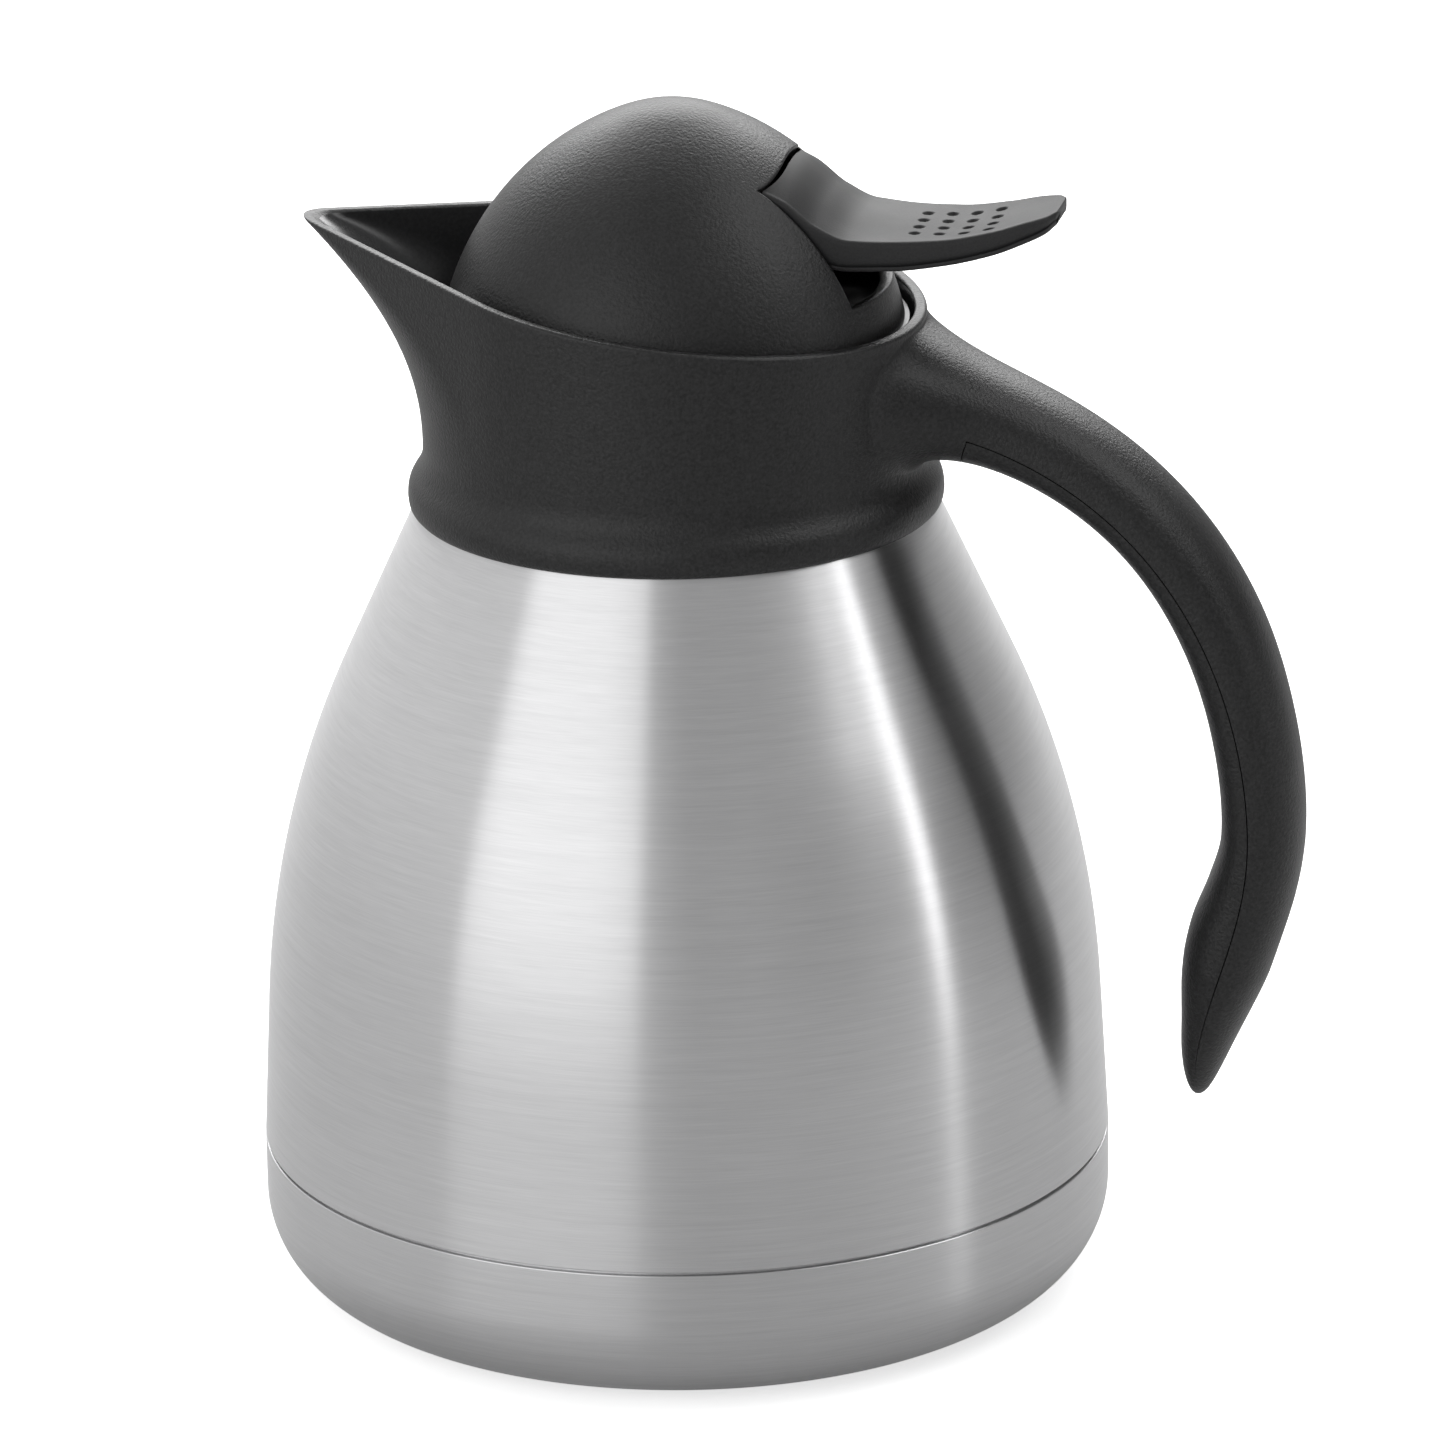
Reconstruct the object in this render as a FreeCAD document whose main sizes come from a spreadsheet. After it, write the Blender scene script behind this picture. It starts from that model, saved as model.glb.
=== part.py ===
"""Insulated steel coffee pot with a moulded collar, spout and handle, and a lever lid.

Millimetres, +Z up. The origin is the middle of the base on the table, the handle is
towards +X and the spout towards -X. Every size is a named cell of the sheet.
"""
import FreeCAD
import Part
import math
import os
import re
import Sketcher

Vector = FreeCAD.Vector

# Driving sizes in millimetres and degrees
SIZES = {
    # Steel vessel
    "body_diameter": 140.0,
    "seam_height": 25.2,
    "seam_gap": 0.5,
    "seam_lap": 6.0,
    "lap_clearance": 0.1,
    "shell_wall": 0.7,
    "wall_lean": 3.0,
    "shoulder_lean": 24.8,
    "shoulder_round": 154.0,
    "shoulder_diameter": 87.5,
    "neck_diameter": 76.0,
    "neck_round": 8.0,
    "mouth_height": 150.0,
    "flask_wall": 0.6,
    "vacuum_gap": 5.0,
    "neck_vacuum_gap": 0.4,
    "flask_weld_height": 26.0,
    "flask_bottom_round": 14.0,
    "base_edge_round": 16.0,
    "foot_ring_width": 7.0,
    "base_recess": 3.0,
    "recess_slope": 5.0,
    "plug_diameter": 10.0,
    "plug_stem_diameter": 4.0,
    "plug_thickness": 1.2,
    "press_clearance": 0.05,
    "getter_diameter": 10.0,
    "getter_thickness": 1.6,
    "getter_offset": 22.0,
    # Collar and spout
    "collar_drop": 20.0,
    "collar_diameter": 85.0,
    "collar_wall": 2.8,
    "collar_clearance": 0.4,
    "bead_diameter": 90.8,
    "bead_height": 6.6,
    "bead_lap": 1.0,
    "bead_edge": 0.7,
    "bead_crease": 0.5,
    "collar_flare": 1.5,
    "waist_drop": 10.0,
    "rim_rise": 20.4,
    "rim_tilt": 7.5,
    "rim_edge_round": 0.7,
    "spout_reach": 61.8,
    "spout_half_angle": 41.0,
    "shelf_thickness": 2.2,
    "gasket_thickness": 0.8,
    # Handle
    "handle_root_rise": 1.3,
    "handle_root_slope": 11.1,
    "handle_root_pull": 58.8,
    "handle_reach": 97.2,
    "handle_reach_height": 81.5,
    "handle_crown_pull": 1.5,
    "handle_tip_reach": 88.2,
    "handle_tip_height": 35.0,
    "handle_tip_pull": 17.0,
    "handle_outer_depth": 8.3,
    "handle_inner_depth": 6.2,
    "handle_width": 22.5,
    "handle_root_width": 35.0,
    "handle_root_depth": 5.6,
    "handle_flare": 6.5,
    "handle_tip_length": 19.0,
    "handle_wall": 2.4,
    "parting_gap": 0.25,
    "cover_start": 50.0,
    # Neck ring and stopper
    "ring_wall": 3.2,
    "ring_depth": 20.0,
    "ring_flange": 2.0,
    "ring_clearance": 0.4,
    "stopper_clearance": 0.6,
    "stopper_wall": 2.2,
    "stopper_length": 39.0,
    "stopper_floor": 2.2,
    "seat_diameter": 23.0,
    "window_height": 5.2,
    "window_width": 19.0,
    "window_rib": 8.0,
    "window_margin": 0.8,
    "air_hole_width": 6.0,
    "flange_thickness": 2.5,
    "seal_groove_rise": 14.0,
    "seal_height": 3.4,
    "seal_depth": 1.2,
    "seal_clearance": 0.1,
    # Lid
    "carrier_thickness": 2.5,
    "carrier_clearance": 0.5,
    "boss_diameter": 7.0,
    "boss_length": 14.0,
    "screw_count": 3,
    "screw_diameter": 2.5,
    "screw_head_diameter": 5.0,
    "screw_head_height": 1.6,
    "screw_length": 10.0,
    "dome_height": 36.0,
    "dome_top_round": 23.5,
    "dome_side_round": 49.4,
    "dome_joint_angle": 21.2,
    "dome_wall": 2.4,
    "slot_radius": 20.8,
    "slot_width": 29.0,
    "slot_rise": 7.0,
    # Lever and valve
    "lever_clearance": 0.4,
    "pivot_reach": 18.0,
    "pivot_drop": 18.5,
    "pin_diameter": 3.0,
    "pin_clearance": 0.05,
    "ear_gap": 22.0,
    "ear_thickness": 2.4,
    "ear_round": 3.2,
    "ear_corner": 2.2,
    "hub_diameter": 6.6,
    "lever_reach": 65.6,
    "lever_width": 28.2,
    "lever_skin": 2.6,
    "dot_diameter": 1.7,
    "dot_depth": 0.6,
    "dot_pitch": 4.0,
    "dot_row_pitch": 3.7,
    "dot_start": 42.0,
    "dot_count": 4,
    "fork_width": 3.2,
    "fork_pad_diameter": 4.4,
    "fork_depth": 3.1,
    "fork_drop": 1.4,
    "fork_lift_gap": 0.15,
    "stem_diameter": 5.0,
    "stem_clearance": 0.05,
    "stem_cap_diameter": 15.0,
    "stem_cap_height": 4.0,
    "stem_foot_diameter": 14.0,
    "stem_foot_height": 2.0,
    "guide_diameter": 8.8,
    "guide_flange_diameter": 13.0,
    "guide_flange": 1.2,
    "guide_depth": 5.0,
    "valve_diameter": 30.0,
    "valve_thickness": 3.4,
    "valve_seal_thickness": 1.8,
    "spring_diameter": 13.0,
    "spring_wire": 0.9,
    "spring_turns": 7,
    "spring_seat_gap": 0.05,
}

DOC = FreeCAD.newDocument("CoffeePot")
SHEET = DOC.addObject("Spreadsheet::Sheet", "Sizes")
for row, (alias, number) in enumerate(SIZES.items(), start=1):
    SHEET.set("A%d" % row, alias)
    SHEET.set("B%d" % row, str(number))
    SHEET.setAlias("B%d" % row, alias)
DOC.recompute()

SUB_PARTS = {}


def bound(formula):
    """Turn a formula of bare size names into one that names the sheet."""
    return re.sub(r"[a-z][a-z_]*", lambda m: "Sizes." + m[0] if m[0] in SIZES else m[0], str(formula))


def value(formula):
    """Work out a formula of size names as a number."""
    return float(SHEET.evalExpression(bound(formula)))


def keep(label, thing):
    """Register an object of the document as a sub-part."""
    thing.Label = label
    SUB_PARTS[label] = thing
    return thing


# Heights that the pieces share, as formulas
COLLAR_FOOT = "(mouth_height - collar_drop)"
WAIST = "(mouth_height - waist_drop)"
BEAD_LOW = "(mouth_height - collar_drop - bead_lap)"
BEAD_TOP = "(mouth_height - collar_drop - bead_lap + bead_height)"
SHELF_LOW = "(mouth_height + gasket_thickness)"
SHELF_TOP = "(mouth_height + gasket_thickness + shelf_thickness)"
RING_TOP = "(mouth_height + gasket_thickness + shelf_thickness + ring_flange)"
FLANGE_LOW = f"({RING_TOP} + window_height + window_margin)"
FLANGE_TOP = f"({FLANGE_LOW} + flange_thickness)"
CARRIER_TOP = f"({FLANGE_TOP} + carrier_thickness)"
STOPPER_LOW = f"({FLANGE_LOW} - stopper_length)"
DOME_TOP = f"({FLANGE_TOP} + dome_height)"
PIVOT_HEIGHT = f"({DOME_TOP} - pivot_drop)"
FORK_HEIGHT = f"({PIVOT_HEIGHT} - fork_drop)"
CAP_LOW = f"({FORK_HEIGHT} + fork_pad_diameter / 2 + fork_lift_gap)"
SEAT_TOP = f"({STOPPER_LOW} + stopper_floor)"
VALVE_LOW = f"({SEAT_TOP} + valve_seal_thickness)"
VALVE_TOP = f"({VALVE_LOW} + valve_thickness)"
FLASK_FLOOR = "(base_recess + shell_wall + vacuum_gap)"

# Radii that the pieces share, as formulas
NECK_RADIUS = "(neck_diameter / 2)"
FLASK_NECK = "(neck_diameter / 2 - shell_wall - neck_vacuum_gap)"
MOUTH_RADIUS = f"({FLASK_NECK} - flask_wall)"
RING_OUTER = f"({MOUTH_RADIUS} - ring_clearance)"
RING_BORE = f"({RING_OUTER} - ring_wall)"
STOPPER_RADIUS = f"({RING_BORE} - stopper_clearance)"
STOPPER_BORE = f"({STOPPER_RADIUS} - stopper_wall)"
BOSS_RADIUS = f"({STOPPER_BORE} - boss_diameter / 2 + stopper_wall / 2)"
DOME_SIDE_X = "((dome_top_round - dome_side_round) * sin(dome_joint_angle))"
DOME_SIDE_Z = f"({DOME_TOP} - dome_top_round + (dome_top_round - dome_side_round) * cos(dome_joint_angle))"
DOME_FOOT = f"({DOME_SIDE_X} + sqrt(dome_side_round ^ 2 - ({FLANGE_TOP} - {DOME_SIDE_Z}) ^ 2))"


def new_body(label):
    """A body whose label names its file."""
    return keep(label, DOC.addObject("PartDesign::Body", label))


def new_sketch(body, role, name, offset=None):
    """A sketch on one of the body's own origin planes, moved along its normal by offset."""
    sketch = body.newObject("Sketcher::SketchObject", f"{body.Label}_{name}")
    plane = next(item for item in body.Origin.OriginFeatures if item.Role == role)
    sketch.AttachmentSupport = [(plane, "")]
    sketch.MapMode = "FlatFace"
    if offset is not None:
        sketch.setExpression("AttachmentOffset.Base.z", bound(offset))
    return sketch


def fix_point(sketch, geometry, point, x_formula, y_formula):
    """Tie one point of a sketch to the origin with two formulas."""
    for kind, formula, axis in (("DistanceX", x_formula, -2), ("DistanceY", y_formula, -1)):
        if str(formula) == "0":
            sketch.addConstraint(Sketcher.Constraint("PointOnObject", geometry, point, axis))
            continue
        mark = sketch.addConstraint(
            Sketcher.Constraint(kind, -1, 1, geometry, point, value(formula)))
        sketch.setExpression(f"Constraints[{mark}]", bound(formula))


def fix_radius(sketch, geometry, formula):
    """Tie the radius of an arc or circle to a formula."""
    mark = sketch.addConstraint(Sketcher.Constraint("Radius", geometry, value(formula)))
    sketch.setExpression(f"Constraints[{mark}]", bound(formula))


def draw_outline(sketch, corners):
    """Draw a closed outline of corners (x, y) or rounded corners (x, y, radius)."""
    spots = [Vector(value(c[0]), value(c[1]), 0) for c in corners]
    count = len(corners)
    starts = list(spots)
    ends = list(spots)
    arcs = {}
    for i, corner in enumerate(corners):
        if len(corner) < 3:
            continue
        back = (spots[i - 1] - spots[i]).normalize()
        ahead = (spots[(i + 1) % count] - spots[i]).normalize()
        half = back.getAngle(ahead) / 2
        radius = value(corner[2])
        ends[i] = spots[i] + back * (radius / math.tan(half))
        starts[i] = spots[i] + ahead * (radius / math.tan(half))
        centre = spots[i] + (back + ahead).normalize() * (radius / math.sin(half))
        turn = (ends[i] - centre).cross(starts[i] - centre).z
        first, last = (ends[i], starts[i]) if turn > 0 else (starts[i], ends[i])
        angles = [math.atan2(p.y - centre.y, p.x - centre.x) for p in (first, last)]
        arcs[i] = (Part.ArcOfCircle(Part.Circle(centre, Vector(0, 0, 1), radius), *angles), turn > 0)
    lines = [sketch.addGeometry(Part.LineSegment(starts[i], ends[(i + 1) % count]))
             for i in range(count)]
    for i, corner in enumerate(corners):
        before, after = lines[i - 1], lines[i]
        if i not in arcs:
            sketch.addConstraint(Sketcher.Constraint("Coincident", before, 2, after, 1))
            fix_point(sketch, after, 1, corner[0], corner[1])
            continue
        shape, forward = arcs[i]
        arc = sketch.addGeometry(shape)
        enter, leave = (1, 2) if forward else (2, 1)
        sketch.addConstraint(Sketcher.Constraint("Tangent", before, 2, arc, enter))
        sketch.addConstraint(Sketcher.Constraint("Tangent", arc, leave, after, 1))
        fix_radius(sketch, arc, corner[2])
        mark = sketch.addGeometry(Part.Point(spots[i]), True)
        fix_point(sketch, mark, 1, corner[0], corner[1])
        sketch.addConstraint(Sketcher.Constraint("PointOnObject", mark, 1, before))
        sketch.addConstraint(Sketcher.Constraint("PointOnObject", mark, 1, after))


def draw_circle(sketch, x_formula, y_formula, radius):
    """Draw one circle tied to the origin."""
    centre = Vector(value(x_formula), value(y_formula), 0)
    ring = sketch.addGeometry(Part.Circle(centre, Vector(0, 0, 1), value(radius)))
    fix_point(sketch, ring, 3, x_formula, y_formula)
    fix_radius(sketch, ring, radius)


def turn(body, kind, sketch, name):
    """Revolve a sketch about the vertical axis, as material or as a cut."""
    feature = body.newObject(f"PartDesign::{kind}", f"{body.Label}_{name}")
    feature.Profile = sketch
    feature.ReferenceAxis = (sketch, ["V_Axis"])
    feature.Angle = 360
    sketch.Visibility = False
    return feature


def turned(label, corners):
    """A body that is one outline revolved about the vertical axis."""
    body = new_body(label)
    sketch = new_sketch(body, "XZ_Plane", "outline")
    draw_outline(sketch, corners)
    turn(body, "Revolution", sketch, "turned")
    return body


def hollow(body, corners, name="hollow"):
    """Cut a revolved outline out of a body."""
    sketch = new_sketch(body, "XZ_Plane", name)
    draw_outline(sketch, corners)
    return turn(body, "Groove", sketch, name + "_cut")


def raise_pad(body, sketch, name, length, symmetric=False, upward=True):
    """Pad a sketch by a formula."""
    pad = body.newObject("PartDesign::Pad", f"{body.Label}_{name}")
    pad.Profile = sketch
    pad.setExpression("Length", bound(length))
    pad.SideType = "Symmetric" if symmetric else "One side"
    pad.Reversed = not upward
    return pad


def cut_pocket(body, sketch, name, length=None, symmetric=False, backward=False):
    """Pocket a sketch by a formula, or right through, and make sure that it cuts."""
    DOC.recompute()
    before = body.Shape.Volume
    pocket = body.newObject("PartDesign::Pocket", f"{body.Label}_{name}")
    pocket.Profile = sketch
    if length is None:
        pocket.Type = "ThroughAll"
    else:
        pocket.setExpression("Length", bound(length))
    pocket.SideType = "Symmetric" if symmetric else "One side"
    pocket.Reversed = backward
    DOC.recompute()
    if body.Shape.Volume >= before:
        raise RuntimeError(f"{body.Label}_{name} cuts nothing")
    return pocket


def repeat_round(body, feature, name, count):
    """Repeat a feature round the vertical axis."""
    axis = next(item for item in body.Origin.OriginFeatures if item.Role == "Z_Axis")
    pattern = body.newObject("PartDesign::PolarPattern", f"{body.Label}_{name}")
    pattern.Originals = [feature]
    pattern.Axis = (axis, [""])
    pattern.Angle = 360
    pattern.setExpression("Occurrences", bound(count))
    body.Tip = pattern
    return pattern


# Steel vessel


def vessel_outline(inset, neck, low, high):
    """Half outline of the vessel wall moved inwards by inset, from height low to high."""
    side = f"(body_diameter / 2 - ({inset}) / cos(wall_lean))"
    shoulder = f"(shoulder_diameter / 2 - ({inset}) / cos(shoulder_lean))"
    rise = (f"(({shoulder} + {COLLAR_FOOT} * tan(shoulder_lean) - {side} - seam_height * tan(wall_lean))"
            f" / (tan(shoulder_lean) - tan(wall_lean)))")
    bend = f"({side} - ({rise} - seam_height) * tan(wall_lean))"
    throat = f"({COLLAR_FOOT} + ({shoulder} - {neck}) / tan(shoulder_lean))"
    return [
        ("0", low),
        (f"{side} - ({low} - seam_height) * tan(wall_lean)", low),
        (bend, rise, f"shoulder_round - ({inset})"),
        (neck, throat, f"neck_round + ({inset})"),
        (neck, high),
        ("0", high),
    ]


def make_outer_shell():
    """Brushed outer wall: leaning side, round shoulder and neck, open below and above."""
    body = new_body("outer_shell")
    low = "(seam_height + seam_gap / 2)"
    high = "(mouth_height - flask_wall)"
    sketch = new_sketch(body, "XZ_Plane", "outline")
    draw_outline(sketch, vessel_outline("0", NECK_RADIUS, low, high))
    turn(body, "Revolution", sketch, "turned")
    inner = vessel_outline("shell_wall", f"({NECK_RADIUS} - shell_wall)",
                           f"({low} - shell_wall)", f"({high} + shell_wall)")
    hollow(body, inner)


def make_inner_flask():
    """Inner wall with a lip that closes the gap at the mouth."""
    body = new_body("inner_flask")
    inset = "shell_wall + vacuum_gap"
    sketch = new_sketch(body, "XZ_Plane", "outline")
    draw_outline(sketch, vessel_outline(inset, FLASK_NECK, "flask_weld_height", "mouth_height"))
    turn(body, "Revolution", sketch, "turned")
    lip = new_sketch(body, "XZ_Plane", "lip")
    draw_outline(lip, [
        (MOUTH_RADIUS, "mouth_height - flask_wall"),
        (NECK_RADIUS, "mouth_height - flask_wall"),
        (NECK_RADIUS, "mouth_height"),
        (MOUTH_RADIUS, "mouth_height"),
    ])
    turn(body, "Revolution", lip, "lip_turned")
    hollow(body, vessel_outline(f"{inset} + flask_wall", MOUTH_RADIUS,
                                "(flask_weld_height - flask_wall)", "(mouth_height + flask_wall)"))


def flask_side(height):
    """Outer radius of the inner flask's straight wall at a height."""
    inset = "(shell_wall + vacuum_gap) / cos(wall_lean)"
    return f"(body_diameter / 2 - {inset} - ({height} - seam_height) * tan(wall_lean))"


def make_inner_flask_bottom():
    """Dished bottom, welded edge to edge to the inner flask."""
    edge = flask_side("flask_weld_height")
    low = FLASK_FLOOR
    body = turned("inner_flask_bottom", [
        ("0", low),
        (edge, low, "flask_bottom_round"),
        (edge, "flask_weld_height"),
        ("0", "flask_weld_height"),
    ])
    wall = "flask_wall / cos(wall_lean)"
    hollow(body, [
        ("0", f"{low} + flask_wall"),
        (f"{edge} - {wall}", f"{low} + flask_wall", "flask_bottom_round - flask_wall"),
        (f"{edge} - {wall}", "flask_weld_height + flask_wall"),
        ("0", "flask_weld_height + flask_wall"),
    ])


def make_base_cup():
    """Pressed base: foot ring, recessed middle, round edge and a joggle that laps into the shell."""
    side = "(body_diameter / 2)"
    seam = "(seam_height - seam_gap / 2)"
    lap = "(body_diameter / 2 - shell_wall / cos(wall_lean) - lap_clearance)"
    lap_top = f"({lap} - seam_lap * tan(wall_lean))"
    foot_out = "(body_diameter / 2 - base_edge_round)"
    foot_in = f"({foot_out} - foot_ring_width)"
    recess = f"({foot_in} - recess_slope)"
    body = turned("base_cup", [
        ("plug_stem_diameter / 2", "base_recess"),
        (recess, "base_recess"),
        (foot_in, "0"),
        (side, "0", "base_edge_round"),
        (side, seam),
        (lap, seam),
        (lap_top, f"{seam} + seam_lap"),
        ("plug_stem_diameter / 2", f"{seam} + seam_lap"),
    ])
    hollow(body, [
        ("0", "base_recess + shell_wall"),
        (f"{recess} + shell_wall / 2", "base_recess + shell_wall"),
        (f"{foot_in} + shell_wall / 2", "shell_wall"),
        (f"{side} - shell_wall", "shell_wall", "base_edge_round - shell_wall"),
        (f"{side} - shell_wall", f"{seam} - 3 * shell_wall"),
        (f"{lap} - shell_wall", f"{seam} - shell_wall"),
        (f"{lap_top} - shell_wall", f"{seam} + seam_lap + shell_wall"),
        ("0", f"{seam} + seam_lap + shell_wall"),
    ])


def make_vacuum_plug():
    """Button that seals the evacuation hole in the base."""
    stem = "(plug_stem_diameter / 2 - press_clearance)"
    turned("vacuum_plug", [
        ("0", "base_recess - plug_thickness"),
        ("plug_diameter / 2", "base_recess - plug_thickness", "plug_thickness / 2"),
        ("plug_diameter / 2", "base_recess"),
        (stem, "base_recess"),
        (stem, "base_recess + shell_wall"),
        ("0", "base_recess + shell_wall"),
    ])


def make_getter():
    """Getter pellet under the flat of the flask bottom."""
    getter = keep("getter", DOC.addObject("Part::Cylinder", "getter"))
    getter.setExpression("Radius", bound("getter_diameter / 2"))
    getter.setExpression("Height", bound("getter_thickness"))
    getter.setExpression("Placement.Base.x", bound("getter_offset"))
    getter.setExpression("Placement.Base.z", bound(f"{FLASK_FLOOR} - getter_thickness"))


# Collar, spout and handle


def smooth_loop(points):
    """One closed smooth curve through points, with the same knots for the same count."""
    count = len(points)
    curve = Part.BSplineCurve()
    curve.interpolate(Points=points, PeriodicFlag=True,
                      Parameters=[i / count for i in range(count + 1)])
    return Part.Wire([curve.toShape()])


# Directions from the spout at which a spout section is sampled, closer at the nose
SPOUT_ANGLES = [0, 2, 4.5, 8, 13, 20, 28, 37, 48, 61, 77, 97, 122, 150]


def spout_section(height, inset):
    """Level outline of the collar: its circle and a nose circle, joined by two tangent lines."""
    waist = value(WAIST)
    dip = max(0.0, (waist - height) / (waist - value(BEAD_TOP)))
    radius = value("collar_diameter / 2") + value("collar_flare") * dip ** 2
    nose_height = value("mouth_height + rim_rise + spout_reach * tan(rim_tilt)")
    share = max(0.0, (height - waist) / (nose_height - waist))
    reach = radius + (value("spout_reach") - radius) * share ** 2
    slope = math.sin(math.radians(value("spout_half_angle")))
    nose = (radius - slope * reach) / (1 - slope) - inset
    middle = reach - nose - inset
    radius = radius - inset
    edge = math.pi / 2 - math.radians(value("spout_half_angle"))
    corner = math.atan2(nose * math.sin(edge), middle + nose * math.cos(edge))

    def distance(angle):
        """Distance from the axis to the outline, angle measured from the spout."""
        if angle >= edge:
            return radius
        if angle >= corner:
            return radius / math.cos(edge - angle)
        return middle * math.cos(angle) + math.sqrt(nose ** 2 - (middle * math.sin(angle)) ** 2)

    half = [math.radians(a) for a in SPOUT_ANGLES]
    angles = [math.pi] + [2 * math.pi - a for a in reversed(half[1:])] + half
    points = []
    for angle in angles:
        away = distance(min(angle, 2 * math.pi - angle))
        points.append(Vector(-away * math.cos(angle), -away * math.sin(angle), height))
    return smooth_loop(points)


def spout_solid(inset, heights):
    """Loft of spout sections at the given heights."""
    return Part.makeLoft([spout_section(h, inset) for h in heights], True, False)


def spread(low, high, count):
    """Evenly spaced values from low to high."""
    return [low + (high - low) * i / (count - 1) for i in range(count)]


def revolve_points(points):
    """Solid of a polygon of (radius, height) points turned about the axis."""
    wire = Part.makePolygon([Vector(r, 0, h) for r, h in points + points[:1]])
    return Part.Face(wire).revolve(Vector(0, 0, 0), Vector(0, 0, 1), 360)


def bead_solid():
    """Round bead at the collar's foot, turned about the axis, proud of the collar by a crease."""
    outer = value("bead_diameter / 2")
    low = Vector(outer - value("bead_edge"), 0, value(BEAD_LOW))
    middle = Vector(outer, 0, value(f"({BEAD_LOW} + {BEAD_TOP}) / 2"))
    top = Vector(value("collar_diameter / 2 + collar_flare + bead_crease"), 0, value(BEAD_TOP))
    axis_top = Vector(0, 0, top.z)
    axis_low = Vector(0, 0, low.z)
    wire = Part.Wire([
        Part.makeLine(axis_top, top), Part.Arc(top, middle, low).toShape(),
        Part.makeLine(low, axis_low), Part.makeLine(axis_low, axis_top)])
    return Part.Face(wire).revolve(Vector(0, 0, 0), Vector(0, 0, 1), 360)


def bezier(ends, pulls, share):
    """Point and unit direction at a share of a cubic curve given by ends and pull points."""
    a, b, c, d = ends[0], pulls[0], pulls[1], ends[1]
    rest = 1 - share
    spot = a * rest ** 3 + b * (3 * rest ** 2 * share) + c * (3 * rest * share ** 2) + d * share ** 3
    way = (b - a) * (3 * rest ** 2) + (c - b) * (6 * rest * share) + (d - c) * (3 * share ** 2)
    return spot, way.normalize()


def handle_curves():
    """The two curves of the handle's parting line: root to crown, crown to tip."""
    root = Vector(value("collar_diameter / 2 - collar_wall"), 0, value("mouth_height + handle_root_rise"))
    slope = math.radians(value("handle_root_slope"))
    pull = root + Vector(math.cos(slope), 0, -math.sin(slope)) * value("handle_root_pull")
    crown = Vector(value("handle_reach"), 0, value("handle_reach_height"))
    crown_pull = crown + Vector(0, 0, value("handle_crown_pull"))
    tip = Vector(value("handle_tip_reach"), 0, value("handle_tip_height"))
    upper = ((root, crown), (pull, crown_pull))
    fall = value("handle_tip_pull")
    lower = ((crown, tip), (crown - Vector(0, 0, fall), tip + Vector(0, 0, fall)))
    return upper, lower


# Shares of the two handle curves at which sections stand
UPPER_SHARES = [0.0, 0.03, 0.06, 0.1, 0.15, 0.22, 0.31, 0.42, 0.54, 0.68, 0.83]
LOWER_SHARES = [0.0, 0.18, 0.36, 0.52, 0.66, 0.78, 0.87, 0.94, 0.98, 0.996]
SECTION_POINTS = 20
SECTION_START = 3
SECTION_POWER = 2.3
PARTING_STEPS = 24
HALVINGS = 40


def handle_stations():
    """Stations along the handle: spot, direction, half width, outer depth, inner depth."""
    upper, lower = handle_curves()
    root, way = bezier(*upper, 0.0)
    inside = value("collar_diameter / 5")
    places = [(root - way * inside, way), (root - way * (inside / 2), way)]
    places += [bezier(*upper, share) for share in UPPER_SHARES]
    places += [bezier(*lower, share) for share in LOWER_SHARES]
    tip_height = value("handle_tip_height")
    stations = []
    for spot, way in places:
        gap = max(0.0, spot.x - root.x)
        flare = math.exp(-gap / value("handle_flare"))
        taper = min(1.0, (spot.z - tip_height) / value("handle_tip_length"))
        width = value("handle_width") + flare * value("handle_root_width - handle_width")
        depth = flare * value("handle_root_depth")
        close = math.sqrt(max(taper, 0.0))
        stations.append((spot, way, width / 2 * close,
                         (value("handle_outer_depth") + depth) * close,
                         (value("handle_inner_depth") + depth) * close))
    return stations


def handle_section(spot, way, half_width, outer, inner):
    """Rounded section square to the handle's line, begun beside its outer middle."""
    side = Vector(0, 1, 0)
    out = Vector(-way.z, 0, way.x)
    points = []
    for i in range(SECTION_POINTS):
        turn_angle = 2 * math.pi * (i + SECTION_START) / SECTION_POINTS
        across = math.copysign(abs(math.cos(turn_angle)) ** (2 / SECTION_POWER), math.cos(turn_angle))
        along = math.copysign(abs(math.sin(turn_angle)) ** (2 / SECTION_POWER), math.sin(turn_angle))
        depth = outer if along > 0 else inner
        points.append(spot + side * (half_width * across) + out * (depth * along))
    return smooth_loop(points)


def handle_solid():
    """Whole handle, from inside the collar to the free tip."""
    return Part.makeLoft([handle_section(*s) for s in handle_stations()], True, False)


def handle_core():
    """Hollow of the handle, one wall thickness inside its skin."""
    wall = value("handle_wall")
    start = value("cover_start") + wall
    sections = []
    for spot, way, half_width, outer, inner in handle_stations():
        if spot.x > start and inner > 2 * wall:
            sections.append(handle_section(spot, way, half_width - wall, outer - wall, inner - wall))
    return Part.makeLoft(sections, True, False)


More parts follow.
